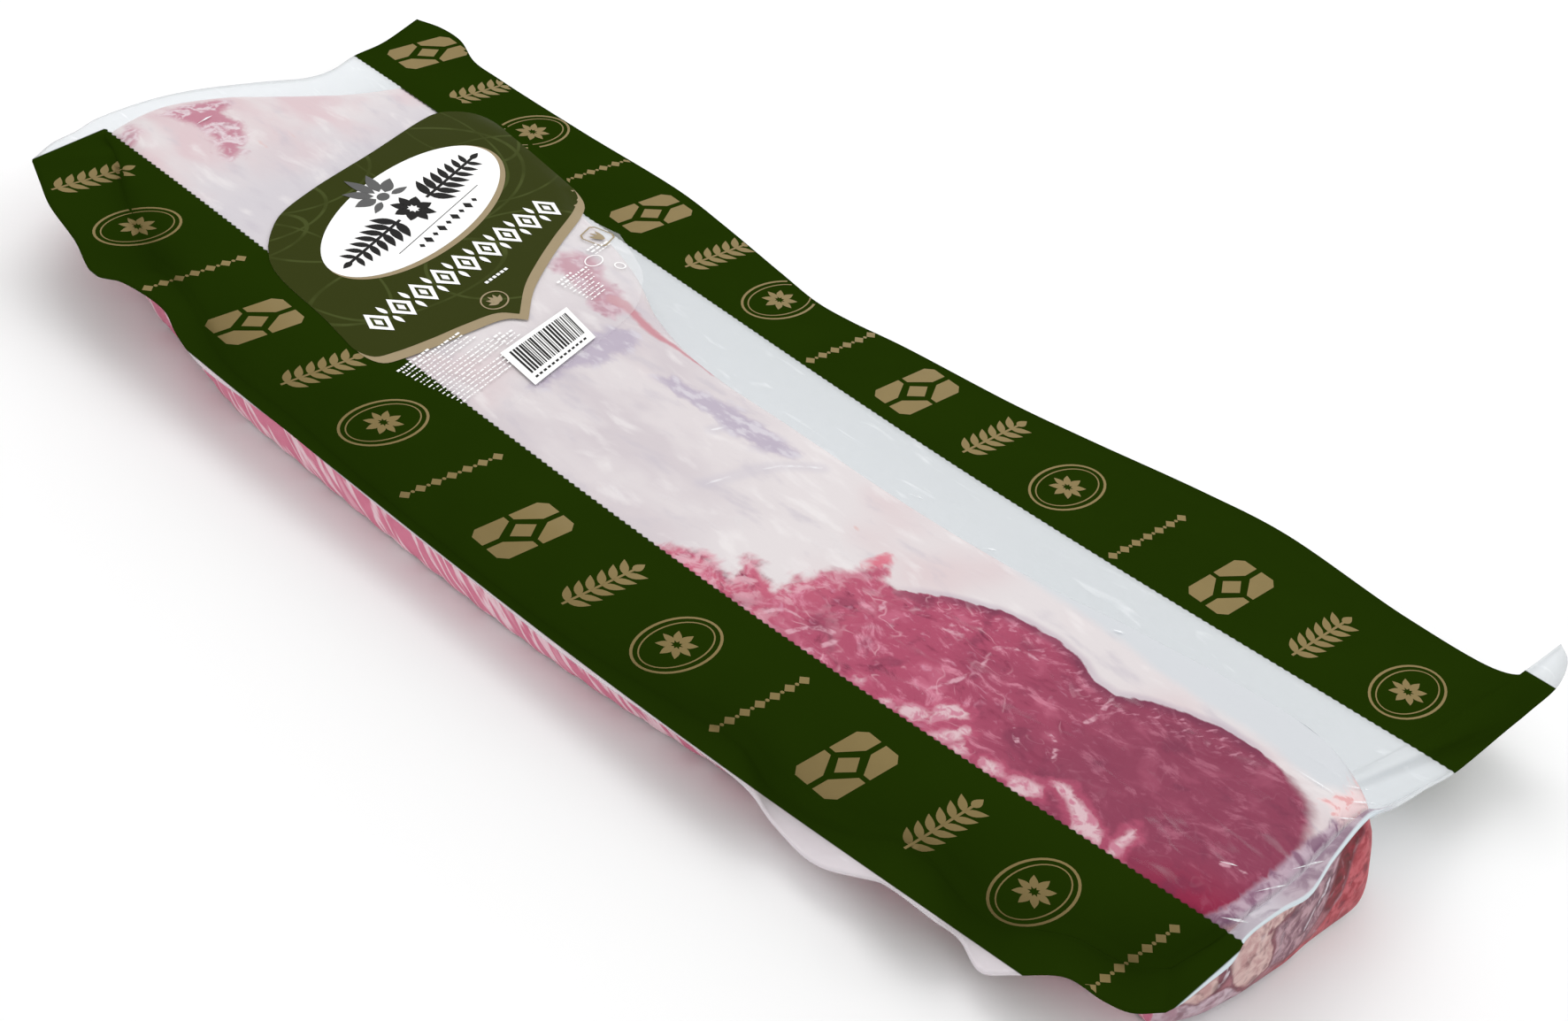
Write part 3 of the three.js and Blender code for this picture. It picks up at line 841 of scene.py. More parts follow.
def bands_mask(look, sizes, x, y):
    """1 where the film is printed green: two long bands with a pinked inner edge."""
    tooth = look.math("SINE", x * (2 * math.pi / (2 * sizes.band_tooth / MM))) * TOOTH_DEPTH
    inner, outer = sizes.near_band_edge / MM, sizes.near_band_outer / MM
    near = look.step(y + tooth, inner + PRINT_BLUR, inner - PRINT_BLUR)
    near = near * look.step(y, outer - PRINT_BLUR, outer + PRINT_BLUR)
    near = near * look.step(x + y * NEAR_BAND_SLANT, -END_BLUR, END_BLUR)
    near = near * look.step(x, NEAR_BAND_END + END_BLUR, NEAR_BAND_END - END_BLUR)
    inner, outer = sizes.far_band_edge / MM, sizes.far_band_outer / MM
    far = look.step(y - tooth * 0.5, inner - PRINT_BLUR, inner + PRINT_BLUR)
    far = far * look.step(y, outer + PRINT_BLUR, outer - PRINT_BLUR)
    return (near + far) * look.step(look.stored("upper"), 0.4, 0.6)


def clear_colour(look, colours, place, y, lip, rim, smear_and_sheen):
    """Clear film: bluish, painted sheen streaks, lilac on the near fins, a membrane's pattern on the lip."""
    # Painted sheen: white along the film's streaks.
    body = look.mix(colours.film_tint, SHEEN_WHITE, smear_and_sheen * 0.7)
    body = look.mix(body, colours.film_lilac, look.step(y, 0, -20) * 0.9)
    mottle = look.noise(place, 5, 4.0, warp=(10, 6), stretch=(1, 0.4, 1))
    membrane = look.tinted(
        look.between("lip_dark", "lip_pale", look.step(mottle, 0.42, 0.66)),
        ("lip_clear", look.step(y, 60, 46) * 0.5), ("lip_pink", look.step(y, 54, 66) * 0.3),
    )
    body = look.mix(body, membrane, lip * 0.9)
    return look.mix(body, colours.film_edge, look.step(rim, 2.3, 0.9) * lip)


def film_look(sizes, colours):
    """Clear film with the printed green bands, whose ink also glows a little as painted light."""
    look = Look("clear_printed_film")
    x, y, _ = look.split(look.stored("laid", "Vector"))
    place = look.place()
    rim, lip = look.stored("rim"), look.stored("lip")
    fine = look.noise(place, 3.0)
    crinkle = look.noise(place, 30, warp=(18, 10))
    height = look.noise(place, 14, 3.0) * 0.7 + fine * 0.12 + crinkle * 0.5

    # Streaks of painted sheen: whiter and less clear on the empty film, and the film's only trace over the
    # meat.
    streak = look.noise(look.warped(look.scaled(place, (0.3, 1, 1)), 12, 8), 6)
    smear_and_sheen = look.step(streak, 0.6, 0.8)
    alpha_empty = 0.6 + 0.1 * smear_and_sheen + 0.16 * lip
    alpha_meat = 0.08 * smear_and_sheen
    alpha = alpha_empty + (alpha_meat - alpha_empty) * look.step(look.stored("on_meat"), 0.0, 1.0)
    rim_light = look.step(rim, 1.2, 0.3) * (0.12 + 0.88 * lip)
    clear = look.principled({
        "Base Color": clear_colour(look, colours, place, y, lip, rim, smear_and_sheen), "Roughness": 0.14,
        "IOR": FILM_IOR, "Specular IOR Level": 0.16, "Alpha": look.most(alpha, rim_light * 0.92),
        "Normal": look.bump(height, 1.2, 0.5),
    })
    dark, light = (tuple(share * c for c in colours.band_green) for share in (0.5, 0.72))
    green = look.mix(dark, light, look.noise(place, 30, 3.0) * 0.5)
    # The ink glows with its own green: painted light that evens out the bands' shading.
    ink = look.principled({
        "Base Color": green, "Roughness": 0.45, "IOR": FILM_IOR, "Specular IOR Level": 0.0,
        "Emission Color": green, "Emission Strength": 1.0, "Normal": look.bump(height, 1.2, 0.3),
    })
    both = look.node("ShaderNodeMixShader", None, {0: bands_mask(look, sizes, x, y)})
    for number, shader in ((1, clear), (2, ink)):
        look.tree.links.new(shader.outputs[0], both.inputs[number])
    return look.finish(both)


def fat_colour(look, colours, spot, x, y):
    """Fat: creamy, cooler towards the label end, with soft smears, lilac and red patches."""
    fat = look.mix(colours.fat, colours.fat_pink, look.step(look.noise(spot, 55), 0.5, 0.72) * 0.8)
    wander = (look.noise(spot, 40) - 0.5) * 70
    cool = look.step(x + wander, 170, 60) * look.step(x + wander * 0.6, 20, 60)
    fat = look.mix(fat, colours.fat_cool, cool * 0.85)
    dull = look.step(x + wander, 150, 200) * look.step(x + y * 0.6 + wander, 350, 290)
    uneven = look.noise(spot, 26, 3.0, warp=(30, 12), stretch=(0.6, 1, 1))
    smear_and_sheen = look.noise(spot, 9, 4.0, warp=(40, 9), stretch=(0.4, 1, 1))
    thread = look.noise(spot, 5, warp=(15, 6), stretch=(0.35, 1, 1))
    warm = look.step(thread, 0.7, 0.78) * look.step(look.noise(spot, 50), 0.5, 0.6)
    crease = look.stored("crease")
    fat = look.tinted(
        fat,
        ("fat_dull", dull * (0.25 + 0.75 * look.step(uneven, 0.38, 0.6))),
        ("fat_rosy", look.step(x + wander * 0.4, 60, 25) * look.step(uneven, 0.4, 0.65)),
        ("fat_light", look.step(smear_and_sheen, 0.54, 0.72) * 0.6),
        ("fat_shadow", look.step(smear_and_sheen, 0.46, 0.28) * 0.5),
        ("fat_warm", warm * 0.5),
        ("crease_shade", look.step(crease, 4.5, 1.0) * 0.4),
        ("crease_light", look.step(crease, 0.9, 0.2) * 0.6),
    )
    mottle = look.noise(spot, 5, 5.0, stretch=(0.6, 1, 1))
    lilac = look.step(look.frayed("lilac", mottle, 13), -1.5, 3)
    tone = look.mix(colours.membrane, TONES["membrane_pale"], look.step(mottle, 0.47, 0.62) * 0.85)
    return look.mix(fat, tone, lilac * 0.9)


def blushed_fat(look, colours, spot, fat, x):
    """The fat's red patches, and the streak of lean along its far side."""
    mottle = look.noise(spot, 6, 5.0, warp=(7, 4))
    blush = look.step(look.frayed("blush", mottle, 12), -2.2, 2.4)
    away = look.step(x, 60, 100)
    tone = look.tinted(
        look.mix(colours.blush, colours.blush_pale, look.step(mottle, 0.42, 0.64)),
        ("blush_milky", look.step(mottle, 0.47, 0.58) * (0.95 - 0.7 * away)),
        ("blush_deep", look.step(look.noise(spot, 6, 3.0), 0.55, 0.7) * 0.7),
        ("blush_red", look.step(x, 300, 320) * 0.8),
    )
    fat = look.mix(fat, tone, blush * (0.74 + 0.1 * away))
    streak = look.step(look.frayed("streak", mottle, 3) + (x - 185) * 0.03, 3.2, 1.2)
    return look.tinted(fat, ("streak", streak * 0.85))


def lean_colour(look, colours, spot, x, y):
    """Lean: pink and marbled at the trimmed edge, darker and smoother towards the cut end."""
    broad = look.noise(spot, 24, 3.0, warp=(30, 10))
    along = x + (broad - 0.5) * 70
    smooth = look.step(along, 366, 452)
    rough = 1 - smooth * 0.7
    crimson = look.step(x - y * 0.7 + (broad - 0.5) * 40, 425, 470) * look.step(y, 62, 40)
    fibre = look.noise(spot, 6.5, 7.0, 0.66, warp=(22, 12), stretch=(0.5, 1, 1))
    lump = look.noise(spot, 12, 3.0, warp=(20, 9))
    lean = look.mix(colours.lean_light, colours.lean, look.step(along, 300, 360))
    lean = look.mix(lean, colours.lean_dark, smooth)
    lean = look.tinted(
        look.mix(lean, colours.lean_crimson, crimson * 0.8),
        ("fibre_dark", look.step(fibre, 0.54, 0.7) * rough),
        ("fibre_light", look.step(fibre, 0.47, 0.32) * rough),
        ("lump_dark", look.step(lump, 0.54, 0.7) * 0.55),
        ("lump_light", look.step(lump, 0.46, 0.3) * rough * 0.6),
    )
    bed = look.noise(spot, 12, 1.5, warp=(14, 9), stretch=(0.6, 1, 1))
    patchy = look.step(look.noise(spot, 11, warp=(9, 5)), 0.48, 0.62)
    vein = look.step(abs(bed - 0.5), 0.02, 0.002) * patchy * (1 - smooth * 0.9)
    seam = look.step(look.frayed("seam", look.noise(spot, 4, 3.0), 2.4), 1.15, 0.35)
    seam = seam * look.step(look.noise(spot, 5, 3.0), 0.4, 0.56)
    scratch = look.noise(spot, 2.6, 3.0, warp=(8, 5), stretch=(0.35, 1, 1))
    frost = look.step(along, 362, 305) * look.step(look.noise(spot, 6, 5.0, warp=(8, 5)), 0.46, 0.62)
    return look.tinted(
        look.mix(lean, colours.marbling, vein * 0.4),
        ("seam", seam * 0.7),
        ("scratch", look.step(scratch, 0.6, 0.76) * (rough * 0.6 - 0.1)),
        ("frost", frost * 0.68),
    )


def lean_border(look, spot, lean, x, y):
    """The lean's dark and hatched far edge, and the clumps of fat along the near band."""
    inside = look.frayed("lean", look.noise(spot, 5, 3.0), 3)
    top_edge = look.step(x, 352, 366) * look.step(x, 478, 462)
    hatch = look.noise(look.join(x * 0.5 - y * 0.25, x * 0.1 + y * 0.2), 1.0, 3.0)
    hatch = look.step(hatch, 0.54, 0.7) * look.step(inside, 15, 6) * look.step(inside, 1, 3)
    mottle = look.noise(spot, 4, 4.0, warp=(6, 3))
    clump = look.frayed("clump", mottle, 7)
    lean = look.tinted(
        lean,
        ("edge_shade", look.step(inside, 5.5, 0.4) * top_edge * 0.6),
        ("hatch", hatch * top_edge * 0.6),
        ("clump_rim", look.step(clump, -3.2, -0.4) * 0.6),
    )
    pale = look.between("clump_pale", "clump_pink", look.step(mottle, 0.44, 0.62))
    return look.mix(lean, pale, look.step(clump, -0.6, 1.4) * 0.92)


def side_colour(look, spot, x, y, z):
    """The near side: pink lean with pale slanting seams."""
    seam = look.noise(look.join(x + z * 0.9, z * 0.3, y * 0.2), 10, 3.0)
    return look.tinted(
        look.between("side_pink", "side_red", look.noise(spot, 9, 4.0)),
        ("side_seam", look.step(abs(seam - 0.5), 0.06, 0.015) * 0.8),
        ("side_pale", look.step(seam, 0.58, 0.7) * 0.6),
    )


def face_colour(look, spot):
    """The cut face: pale lumps of fat between brown, crimson and red muscle; the last lies on top."""
    ragged = (look.noise(spot, 7, 4.0, warp=(8, 4)) - 0.5) * 9
    small = look.noise(spot, 4, 4.0, warp=(8, 5))
    face = look.between("face_light", "face_dark", small)
    for part in ("red", "brown", "lilac", "beige", "crimson"):
        tone = look.between(part + "_a", part + "_b", look.step(small, 0.35, 0.65))
        edge = look.stored("face_" + part) + ragged * 0.4
        # A darker rim just outside each part: painted shade in the gaps between the lumps.
        face = look.tinted(face, ("face_rim", look.step(edge, -1.6, -0.3) * 0.6))
        face = look.mix(face, tone, look.step(edge, -0.6, 0.7))
    skin = look.step(look.noise(spot, 5, warp=(14, 8), stretch=(1, 1, 0.4)), 0.6, 0.7)
    # The film's folds: painted shade round a painted white highlight.
    fold = look.frayed("face_fold", small, 2.4)
    return look.tinted(
        face,
        ("face_spot", look.step(look.noise(spot, 6, 4.0), 0.54, 0.68) * 0.5),
        ("face_skin", skin * 0.22),
        ("fold_shade", look.step(fold, 3.0, 1.2) * 0.5),
        ("fold_highlight", look.step(fold, 1.1, 0.4) * 0.8),
    )


def loin_look(colours):
    """Raw pork: white fat over pink and red lean, moist under the film."""
    look = Look("raw_pork")
    spot = look.stored("spot", "Vector")
    x, y, z = look.split(spot)
    lean_at = look.stored("lean")
    tip = look.noise(spot, 4, 5.0, warp=(14, 7), stretch=(1, 0.45, 1)) - 0.5
    jag = look.noise(spot, 3, 4.0, stretch=(0.5, 1, 1)) - 0.5
    ragged = look.step(x, 352, 335)
    end = look.step(x, 472, 490) * look.step(y, 66, 78)
    border = lean_at + jag * 3.4 + tip * (10 * ragged)
    soft_edge = ragged * 3.0 + end * 3.5
    on_lean = look.step(border, -0.4 - soft_edge, 0.5 + soft_edge * 0.6)

    fat = blushed_fat(look, colours, spot, fat_colour(look, colours, spot, x, y), x)
    # Painted shade: a greyer strip of fat just outside the lean's edge from 345 to 478 mm along, where the
    # fat steps down to the lean.
    shelf_shade = look.step(lean_at, -3.6, -0.6) * look.step(x, 345, 360) * look.step(x, 478, 462)
    fat = look.tinted(fat, ("fat_shelf_shade", shelf_shade * 0.6))
    lean = lean_border(look, spot, lean_colour(look, colours, spot, x, y), x, y)
    meat = look.mix(fat, lean, on_lean)
    veil = look.step(look.frayed("veil", look.noise(spot, 14, 3.0), 5), -3.5, 2.5)
    meat = look.mix(meat, colours.veil, veil * (1 - on_lean))

    mottle = look.noise(spot, 5, 4.0, warp=(8, 5))
    skin = look.between("skin_dark", "skin_pale", look.step(mottle, 0.36, 0.62))
    lip_width = 4.4 + 1.8 * look.step(y, 94, 80)
    off_lip = look.frayed("cut_wall", mottle, 5) - lip_width
    at_lip = look.step(off_lip, 0.4, -1.8) * look.step(y, 122, 108)
    meat = look.mix(meat, skin, at_lip * 0.9)
    meat = look.mix(meat, side_colour(look, spot, x, y, z), look.stored("side"))
    face = look.mix(face_colour(look, spot), skin, look.step(z, 37, 40.5) * look.step(y, 124, 112))
    meat = look.mix(meat, face, look.stored("face"))
    salmon = look.between("salmon_pale", "salmon", look.step(mottle, 0.5, 0.62))
    meat = look.mix(meat, salmon, look.step(look.frayed("corner", mottle, 14), -3, 2) * 0.85)

    height = look.noise(spot, 3, 3.0, stretch=(0.5, 1, 1)) * (0.25 + 0.6 * on_lean)
    height = height + look.noise(spot, 9)
    return look.surface({
        "Base Color": meat, "Roughness": 0.38 + 0.2 * look.noise(spot, 8), "IOR": MEAT_IOR,
        "Specular IOR Level": 0.25, "Normal": look.bump(height, 0.8, 0.4),
    })


def plain_look(name, base, wobble=0.06):
    """Printed ink: one colour with a slight unevenness."""
    look = Look(name)
    place = look.place()
    shade = look.mix(base, tuple(0.82 * c for c in base), look.noise(place, 6, 3.0) * wobble * 8)
    return look.surface({
        "Base Color": shade, "Roughness": 0.4, "IOR": FILM_IOR, "Specular IOR Level": 0.08,
        "Normal": look.bump(look.noise(place, 9), 0.5, 0.2),
    })


# Faint loops on the label's shield: middle, half length and half width, in millimetres.
ARC_LOOPS = (
    (22, 22, 30, 17), (48, 8, 36, 22), (104, 18, 28, 40), (118, 44, 34, 20), (16, 62, 18, 34),
    (40, 84, 44, 16), (86, 92, 40, 24), (128, 12, 20, 30), (70, 34, 66, 36), (8, 34, 26, 12),
)
LOOP_LINE = (0.6, 0.3)


def olive_look(colours):
    """The label's olive field, with faint lighter loops."""
    look = Look("label_olive")
    u, v, _ = look.split(look.stored("spot", "Vector"))
    loops = 0
    for cu, cv, long, short in ARC_LOOPS:
        far = (((u - cu) / long) ** 2 + ((v - cv) / short) ** 2) ** 0.5
        loops = look.most(loops, look.step(abs(far - 1) * min(long, short), *LOOP_LINE))
    faded = 0.35 + 0.65 * look.step(look.noise(look.place(), 16), 0.4, 0.6)
    return look.surface({
        "Base Color": look.mix(colours.label_olive, colours.label_olive_light, loops * faded),
        "Roughness": 0.4, "IOR": FILM_IOR, "Specular IOR Level": 0.02,
        "Normal": look.bump(look.noise(look.place(), 12), 0.6, 0.2),
    })


def panel_look():
    """The clear lower part of the label, hazier towards its far end."""
    look = Look("label_clear_film")
    _, y, _ = look.split(look.stored("spot", "Vector"))
    return look.surface({
        "Base Color": PANEL_CLEAR, "Alpha": 0.07 * look.step(y, 33, 38) + 0.17 * look.step(y, 92, 122),
        "Roughness": 0.25, "IOR": FILM_IOR, "Specular IOR Level": 0.1,
        "Normal": look.bump(look.noise(look.place(), 12), 0.6, 0.2),
    })


def glint_look():
    """White creases in the clear film: painted glints, also standing for its small white print."""
    look = Look("film_crease_glint")
    edge = look.noise(look.place(), 3, 3.0)
    return look.surface({
        "Base Color": CREASE_GLINT_WHITE, "Alpha": 0.35 + 0.55 * look.step(edge, 0.35, 0.6), "Roughness": 0.3,
    })


def floor_look(colours):
    """The studio's pale floor."""
    look = Look("pale_floor")
    darker = tuple(0.97 * c for c in colours.floor)
    return look.surface({
        "Base Color": look.mix(colours.floor, darker, look.noise(look.place(), 300)), "Roughness": 0.7,
    })


# ---- the film and the meat ------------------------------------------------------------------

FILM_STEPS = (260, 92)
LOIN_STEPS = (380, 130)
FLANGE_RINGS = 12
WALL_RINGS = 14
LUMP_SIZE = 22
SMALL_LUMP_SIZE = 9
FACE_LUMP_SIZE = 14
LIP_X = (493, 500)
LIP_Y = (118, 131)
FAR_FROM_RIM = 50.0
ON_MEAT_NEAR_IT = (0.6, 0.25)
BORDER_REACH = (2, 10)
BORDER_SINK = 1.6


def relief_at(points):
    """How far the surface of the meat lies below its smooth form at these points, 0 to 1."""
    lumps = 0.5 + 0.5 * bumpy(points * (0.6, 1, 1), LUMP_SIZE)
    small = 0.5 + 0.5 * bumpy(points * (0.7, 1, 1), SMALL_LUMP_SIZE, 7.0)
    lean = ramp(distance_inside(points[:, :2], LEAN_OUTLINE), (-1, 3))
    depth = 0.35 * lumps + 0.25 * small + 0.45 * lean
    face = ramp(points[:, 0], (499, 503)) * fall(points[:, 2], (38, 42))
    return depth + face * (0.9 * (0.5 + 0.5 * bumpy(points, FACE_LUMP_SIZE, 3.0)))


def build_film(sizes, colours):
    """The closed bag: flat margins, the film over the meat, its wall and its underside."""
    shape = PackShape(*FILM_STEPS)
    thickness = sizes.film_thickness / MM
    skin = Skin()
    rings = [shape.flange(f) for f in np.linspace(0, 1, FLANGE_RINGS + 1)]
    lowered = lower_rings(rings, thickness)

    upper = [skin.add(ring) for ring in rings]
    for outer, inner in zip(upper, upper[1:]):
        skin.band(outer, inner)
    top = shape.top()
    grid = np.full(top.shape[:2], -1)
    for n, (i, j) in enumerate(shape.border()):
        grid[i, j] = upper[-1][n]
    grid[1:-1, 1:-1] = skin.add(top[1:-1, 1:-1]).reshape(shape.n - 1, shape.m - 1)
    skin.sheet(grid)
    lower = [skin.add(ring) for ring in lowered]
    skin.band(lower[0], upper[0])
    for outer, inner in zip(lower, lower[1:]):
        skin.band(inner, outer)
    walls = skin.walls(shape, lower[-1], thickness, WALL_RINGS)

    points = skin.all_points()
    on_meat = np.ones(len(points))
    on_meat[: upper[-1][0]] = 0
    on_meat[lower[0][0]: lower[-1][0]] = 0
    normals = normals_of(points, skin.faces)
    sink = relief_at(points) * (sizes.relief / MM) * on_meat * (points[:, 2] > 0.5)
    points = points - normals * sink[:, None]
    points[:, 2] = np.maximum(points[:, 2], 0)

    film = make_object("film", to_frame(points), skin.faces, film_look(sizes, colours))
    rim = np.full(len(points), FAR_FROM_RIM)
    for above, below in zip(upper, lower):
        rim[above] = rim[below] = np.linalg.norm(points[above] - shape.edge_loop, axis=1)
    set_values(film, "rim", rim)
    set_values(film, "lip", ramp(points[:, 0], LIP_X) * fall(points[:, 1], LIP_Y) * (1 - on_meat))
    on_meat[upper[-1]], on_meat[upper[-2]] = ON_MEAT_NEAR_IT
    set_values(film, "on_meat", on_meat)
    set_values(film, "upper", np.arange(len(points)) < walls[0][0])
    laid = seen_flat(points, ARTWORK_PLANE)
    laid[:, 1] -= print_bow(laid[:, 0])
    set_vectors(film, "laid", np.column_stack([laid, np.zeros(len(laid))]))
    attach(film, "root")
    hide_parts("bag")
    return film


def lower_rings(rings, thickness):
    """The lower film: the rings moved along the film's own normal."""
    lowered = []
    for r, ring in enumerate(rings):
        along = np.roll(ring, -1, 0) - np.roll(ring, 1, 0)
        across = rings[min(r + 1, len(rings) - 1)] - rings[max(r - 1, 0)]
        normal = np.cross(along, across)
        normal /= np.linalg.norm(normal, axis=1, keepdims=True)
        lowered.append(ring - normal * thickness)
    return lowered


def build_loin(sizes, colours):
    """The meat, a little inside the film, with the distances its material reads."""
    shape = PackShape(*LOIN_STEPS)
    skin = Skin()
    top = shape.top()
    grid = skin.add(top).reshape(top.shape[:2])
    skin.sheet(grid)
    skin.walls(shape, np.array([grid[i, j] for i, j in shape.border()]), 0, WALL_RINGS + 2)

    points = skin.all_points()
    normals = normals_of(points, skin.faces)
    sink = sizes.meat_inset / MM + relief_at(points) * sizes.relief / MM
    near_border = fall(distance_from_lines(points[:, :2], [NEAR_WALL, LABEL_END_WALL]), BORDER_REACH)
    points = points - normals * sink[:, None]
    points[:, 2] -= near_border * BORDER_SINK
    points[:, 2] = np.maximum(points[:, 2], sizes.meat_inset / MM)

    loin = make_object("loin", to_frame(points), skin.faces, loin_look(colours))
    set_vectors(loin, "spot", points)
    flat, face = points[:, :2], points[:, 1:3]
    off_top = FAR_AWAY * (1 - ramp(normals[:, 2], (0.2, 0.5)))
    for name, outlines, taken_off in (
        ("lean", [LEAN_OUTLINE], 0), ("lilac", LILAC_OUTLINES, 0), ("clump", CLUMP_OUTLINES, 0),
        ("veil", [VEIL_OUTLINE], 0), ("blush", BLUSH_OUTLINES, off_top),
        ("corner", [CORNER_OUTLINE], off_top),
    ):
        set_values(loin, name, inside_any(flat, outlines) - taken_off)
    for name, seen, lines in (
        ("streak", flat, STREAK_LINES), ("crease", flat, CREASE_LINES), ("seam", flat, LEAN_SEAMS),
        ("cut_wall", flat, [CUT_END_WALL[:6]]), ("face_fold", face, FACE_FOLDS),
    ):
        set_values(loin, name, distance_from_lines(seen, lines))
    for name, outlines in FACE_OUTLINES.items():
        set_values(loin, "face_" + name, inside_any(face, outlines))
    set_values(loin, "side", ramp(-normals[:, 1], (0.3, 0.6)) * fall(points[:, 2], (24, 34)))
    set_values(loin, "face", ramp(normals[:, 0], (0.35, 0.6)) * ramp(points[:, 0], (488, 494)))
    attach(loin, "root")
    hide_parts("bag")
    return loin


# ---- artwork laid on the film ---------------------------------------------------------------

POLYGON_STEP = 1.6
SHEET_STEP = 3.0
LONGEST_DROP = (2.5, 4)
BED_X = (40, 222)
BED_Y = (4, 178)
BED_STEP = 2.0
BED_SOFTNESS = 0.4

class Drape:
    """Lays flat artwork on a surface, as it looks from the eye."""

    def __init__(self, points, faces, plane):
        self.tree = BVHTree.FromPolygons(points, faces)
        self.eye = Vector(to_frame([EYE])[0])
        self.plane = plane

    def __call__(self, xy, lift):
        """The places of the artwork's points; None for one that falls beside the surface."""
        xy = np.asarray(xy, float).reshape(-1, 2)
        aims = to_frame(np.column_stack([xy, np.full(len(xy), self.plane)]))
        laid = []
        for aim in aims:
            way = (Vector(aim) - self.eye).normalized()
            hit, normal, _, _ = self.tree.ray_cast(self.eye, way)
            laid.append(None if hit is None else tuple(hit + normal * lift))
        return laid


def film_surface(film):
    """The points and the faces of the upper film, without the walls below it."""
    points = [v.co.copy() for v in film.data.vertices]
    upper = [item.value > 0.5 for item in film.data.attributes["upper"].data]
    faces = [tuple(p.vertices) for p in film.data.polygons if p.normal.z > 0]
    return points, [face for face in faces if all(upper[k] for k in face)]


def label_bed(film):
    """The surface the label lies on: the film, bridged where the meat falls away at its far side."""
    tree = BVHTree.FromPolygons(*film_surface(film))
    xs, ys = np.arange(*BED_X, BED_STEP), np.arange(*BED_Y, BED_STEP)
    heights = np.full((len(xs), len(ys)), float(LABEL_BRIDGE))
    for i, x in enumerate(xs):
        for j, y in enumerate(ys):
            above = Vector(to_frame([(x, y, 100)])[0])
            hit = tree.ray_cast(above, Vector((0, 0, -1)))[0]
            if hit is not None:
                film_height = (hit.z - to_frame([(0, 0, 0)])[0][2]) / MM
                over = (film_height - LABEL_BRIDGE) / BED_SOFTNESS
                heights[i, j] += np.logaddexp(0, over) * BED_SOFTNESS
    grid = np.array([(x, y, heights[i, j]) for i, x in enumerate(xs) for j, y in enumerate(ys)])
    skin = Skin()
    skin.sheet(skin.add(grid).reshape(len(xs), len(ys)))
    return to_frame(grid).tolist(), skin.faces


class Artwork:
    """Collects flat shapes that lie on a drape, as one mesh."""

    def __init__(self, drape, lift):
        self.drape, self.lift = drape, lift
        self.points, self.faces, self.flat = [], [], []

    def add(self, xy, faces):
        """Adds a flat shape; what falls beside the film or over a drop in it is cut off."""
        laid = self.drape(xy, self.lift)
        drop, share = LONGEST_DROP
        new = {}

        def keep(face):
            if any(laid[k] is None for k in face):
                return False
            for a, b in zip(face, (*face[1:], face[0])):
                if math.dist(laid[a], laid[b]) > (drop + share * math.dist(xy[a], xy[b])) * MM:
                    return False
            return True

        for face in map(tuple, faces):
            if keep(face):
                for k in face:
                    if k not in new:
                        new[k] = len(self.points)
                        self.points.append(laid[k])
                        self.flat.append(tuple(xy[k]))
                self.faces.append(tuple(new[k] for k in face))

    def polygon(self, outline):
        """A small shape, filled with triangles fine enough to follow the film."""
        self.field(outline, POLYGON_STEP)

    def ring(self, outer, inner):
        """The strip between two closed outlines of as many points."""
        n = len(outer)
        faces = [(k, (k + 1) % n, n + (k + 1) % n, n + k) for k in range(n)]
        self.add(np.vstack([outer, inner]), faces)

    def field(self, outline, step):
        """Fills an outline with small triangles, so that it follows the film."""
        corners = np.asarray(outline, float)
        outline = []
        for start, end in zip(corners, np.roll(corners, -1, 0)):
            parts = max(1, math.ceil(np.linalg.norm(end - start) / step))
            outline.extend([start + (end - start) * k / parts for k in range(parts)])
        outline = np.array(outline)
        low, high = outline.min(0), outline.max(0)
        xs = np.arange(low[0] + step / 2, high[0], step)
        ys = np.arange(low[1] + step / 2, high[1], step)
        inner = np.array([(x, y) for x in xs for y in ys]).reshape(-1, 2)
        inner = inner[distance_inside(inner, outline) > step * 0.4]
        verts = [Vector(p) for p in np.vstack([outline, inner])]
        made = delaunay_2d_cdt(verts, [], [list(range(len(outline)))], 1, 1e-5)
        self.add(np.array([tuple(v) for v in made[0]]), made[2])

    def make(self, name, material, slot, spot=None):
        """The collected shapes as one piece; spot gives a place in the material's own measure."""
        made = make_object(name, self.points, self.faces, material)
        if spot is not None:
            flat = np.array([spot(p) for p in self.flat])
            set_vectors(made, "spot", np.column_stack([flat, np.zeros(len(flat))]))
        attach(made, "root")
        return made


def smooth_outline(points, count):
    """A closed smooth outline through a few points."""
    line = curve(points + points[:1])
    return line(np.arange(count) / count)[:, :2]


class Local:
    """Turns a motif's own places (along, down) to places on the pack."""

    def __init__(self, origin, along, size=1.0):
        self.origin = np.array(origin, float)
        self.axes = np.array([along, (along[1], -along[0])], float) * size

    def __call__(self, uv):
        return self.origin + np.asarray(uv, float).reshape(-1, 2) @ self.axes


def oval(a, b, count=40, middle=(0, 0)):
    """An oval with these half lengths."""
    turn = np.arange(count) * 2 * np.pi / count
    return np.column_stack([a * np.cos(turn), b * np.sin(turn)]) + middle


def leaf(base, tip, width):
    """A pointed leaf from its base to its tip, with this half width."""
    base, tip = np.array(base, float), np.array(tip, float)
    along = tip - base
    side = np.array([-along[1], along[0]]) / np.linalg.norm(along) * width
    right = [base + along * f + side * math.sin(math.pi * f**0.8) for f in np.linspace(0, 1, 7)]
    left = [base + along * f - side * math.sin(math.pi * f**0.8) for f in np.linspace(1, 0, 7)[1:-1]]
    return np.array(right + left)


def lozenge(u, v, a, b):
    """A lozenge about a middle, with these half lengths."""
    return np.array([(u - a, v), (u, v - b), (u + a, v), (u, v + b)])


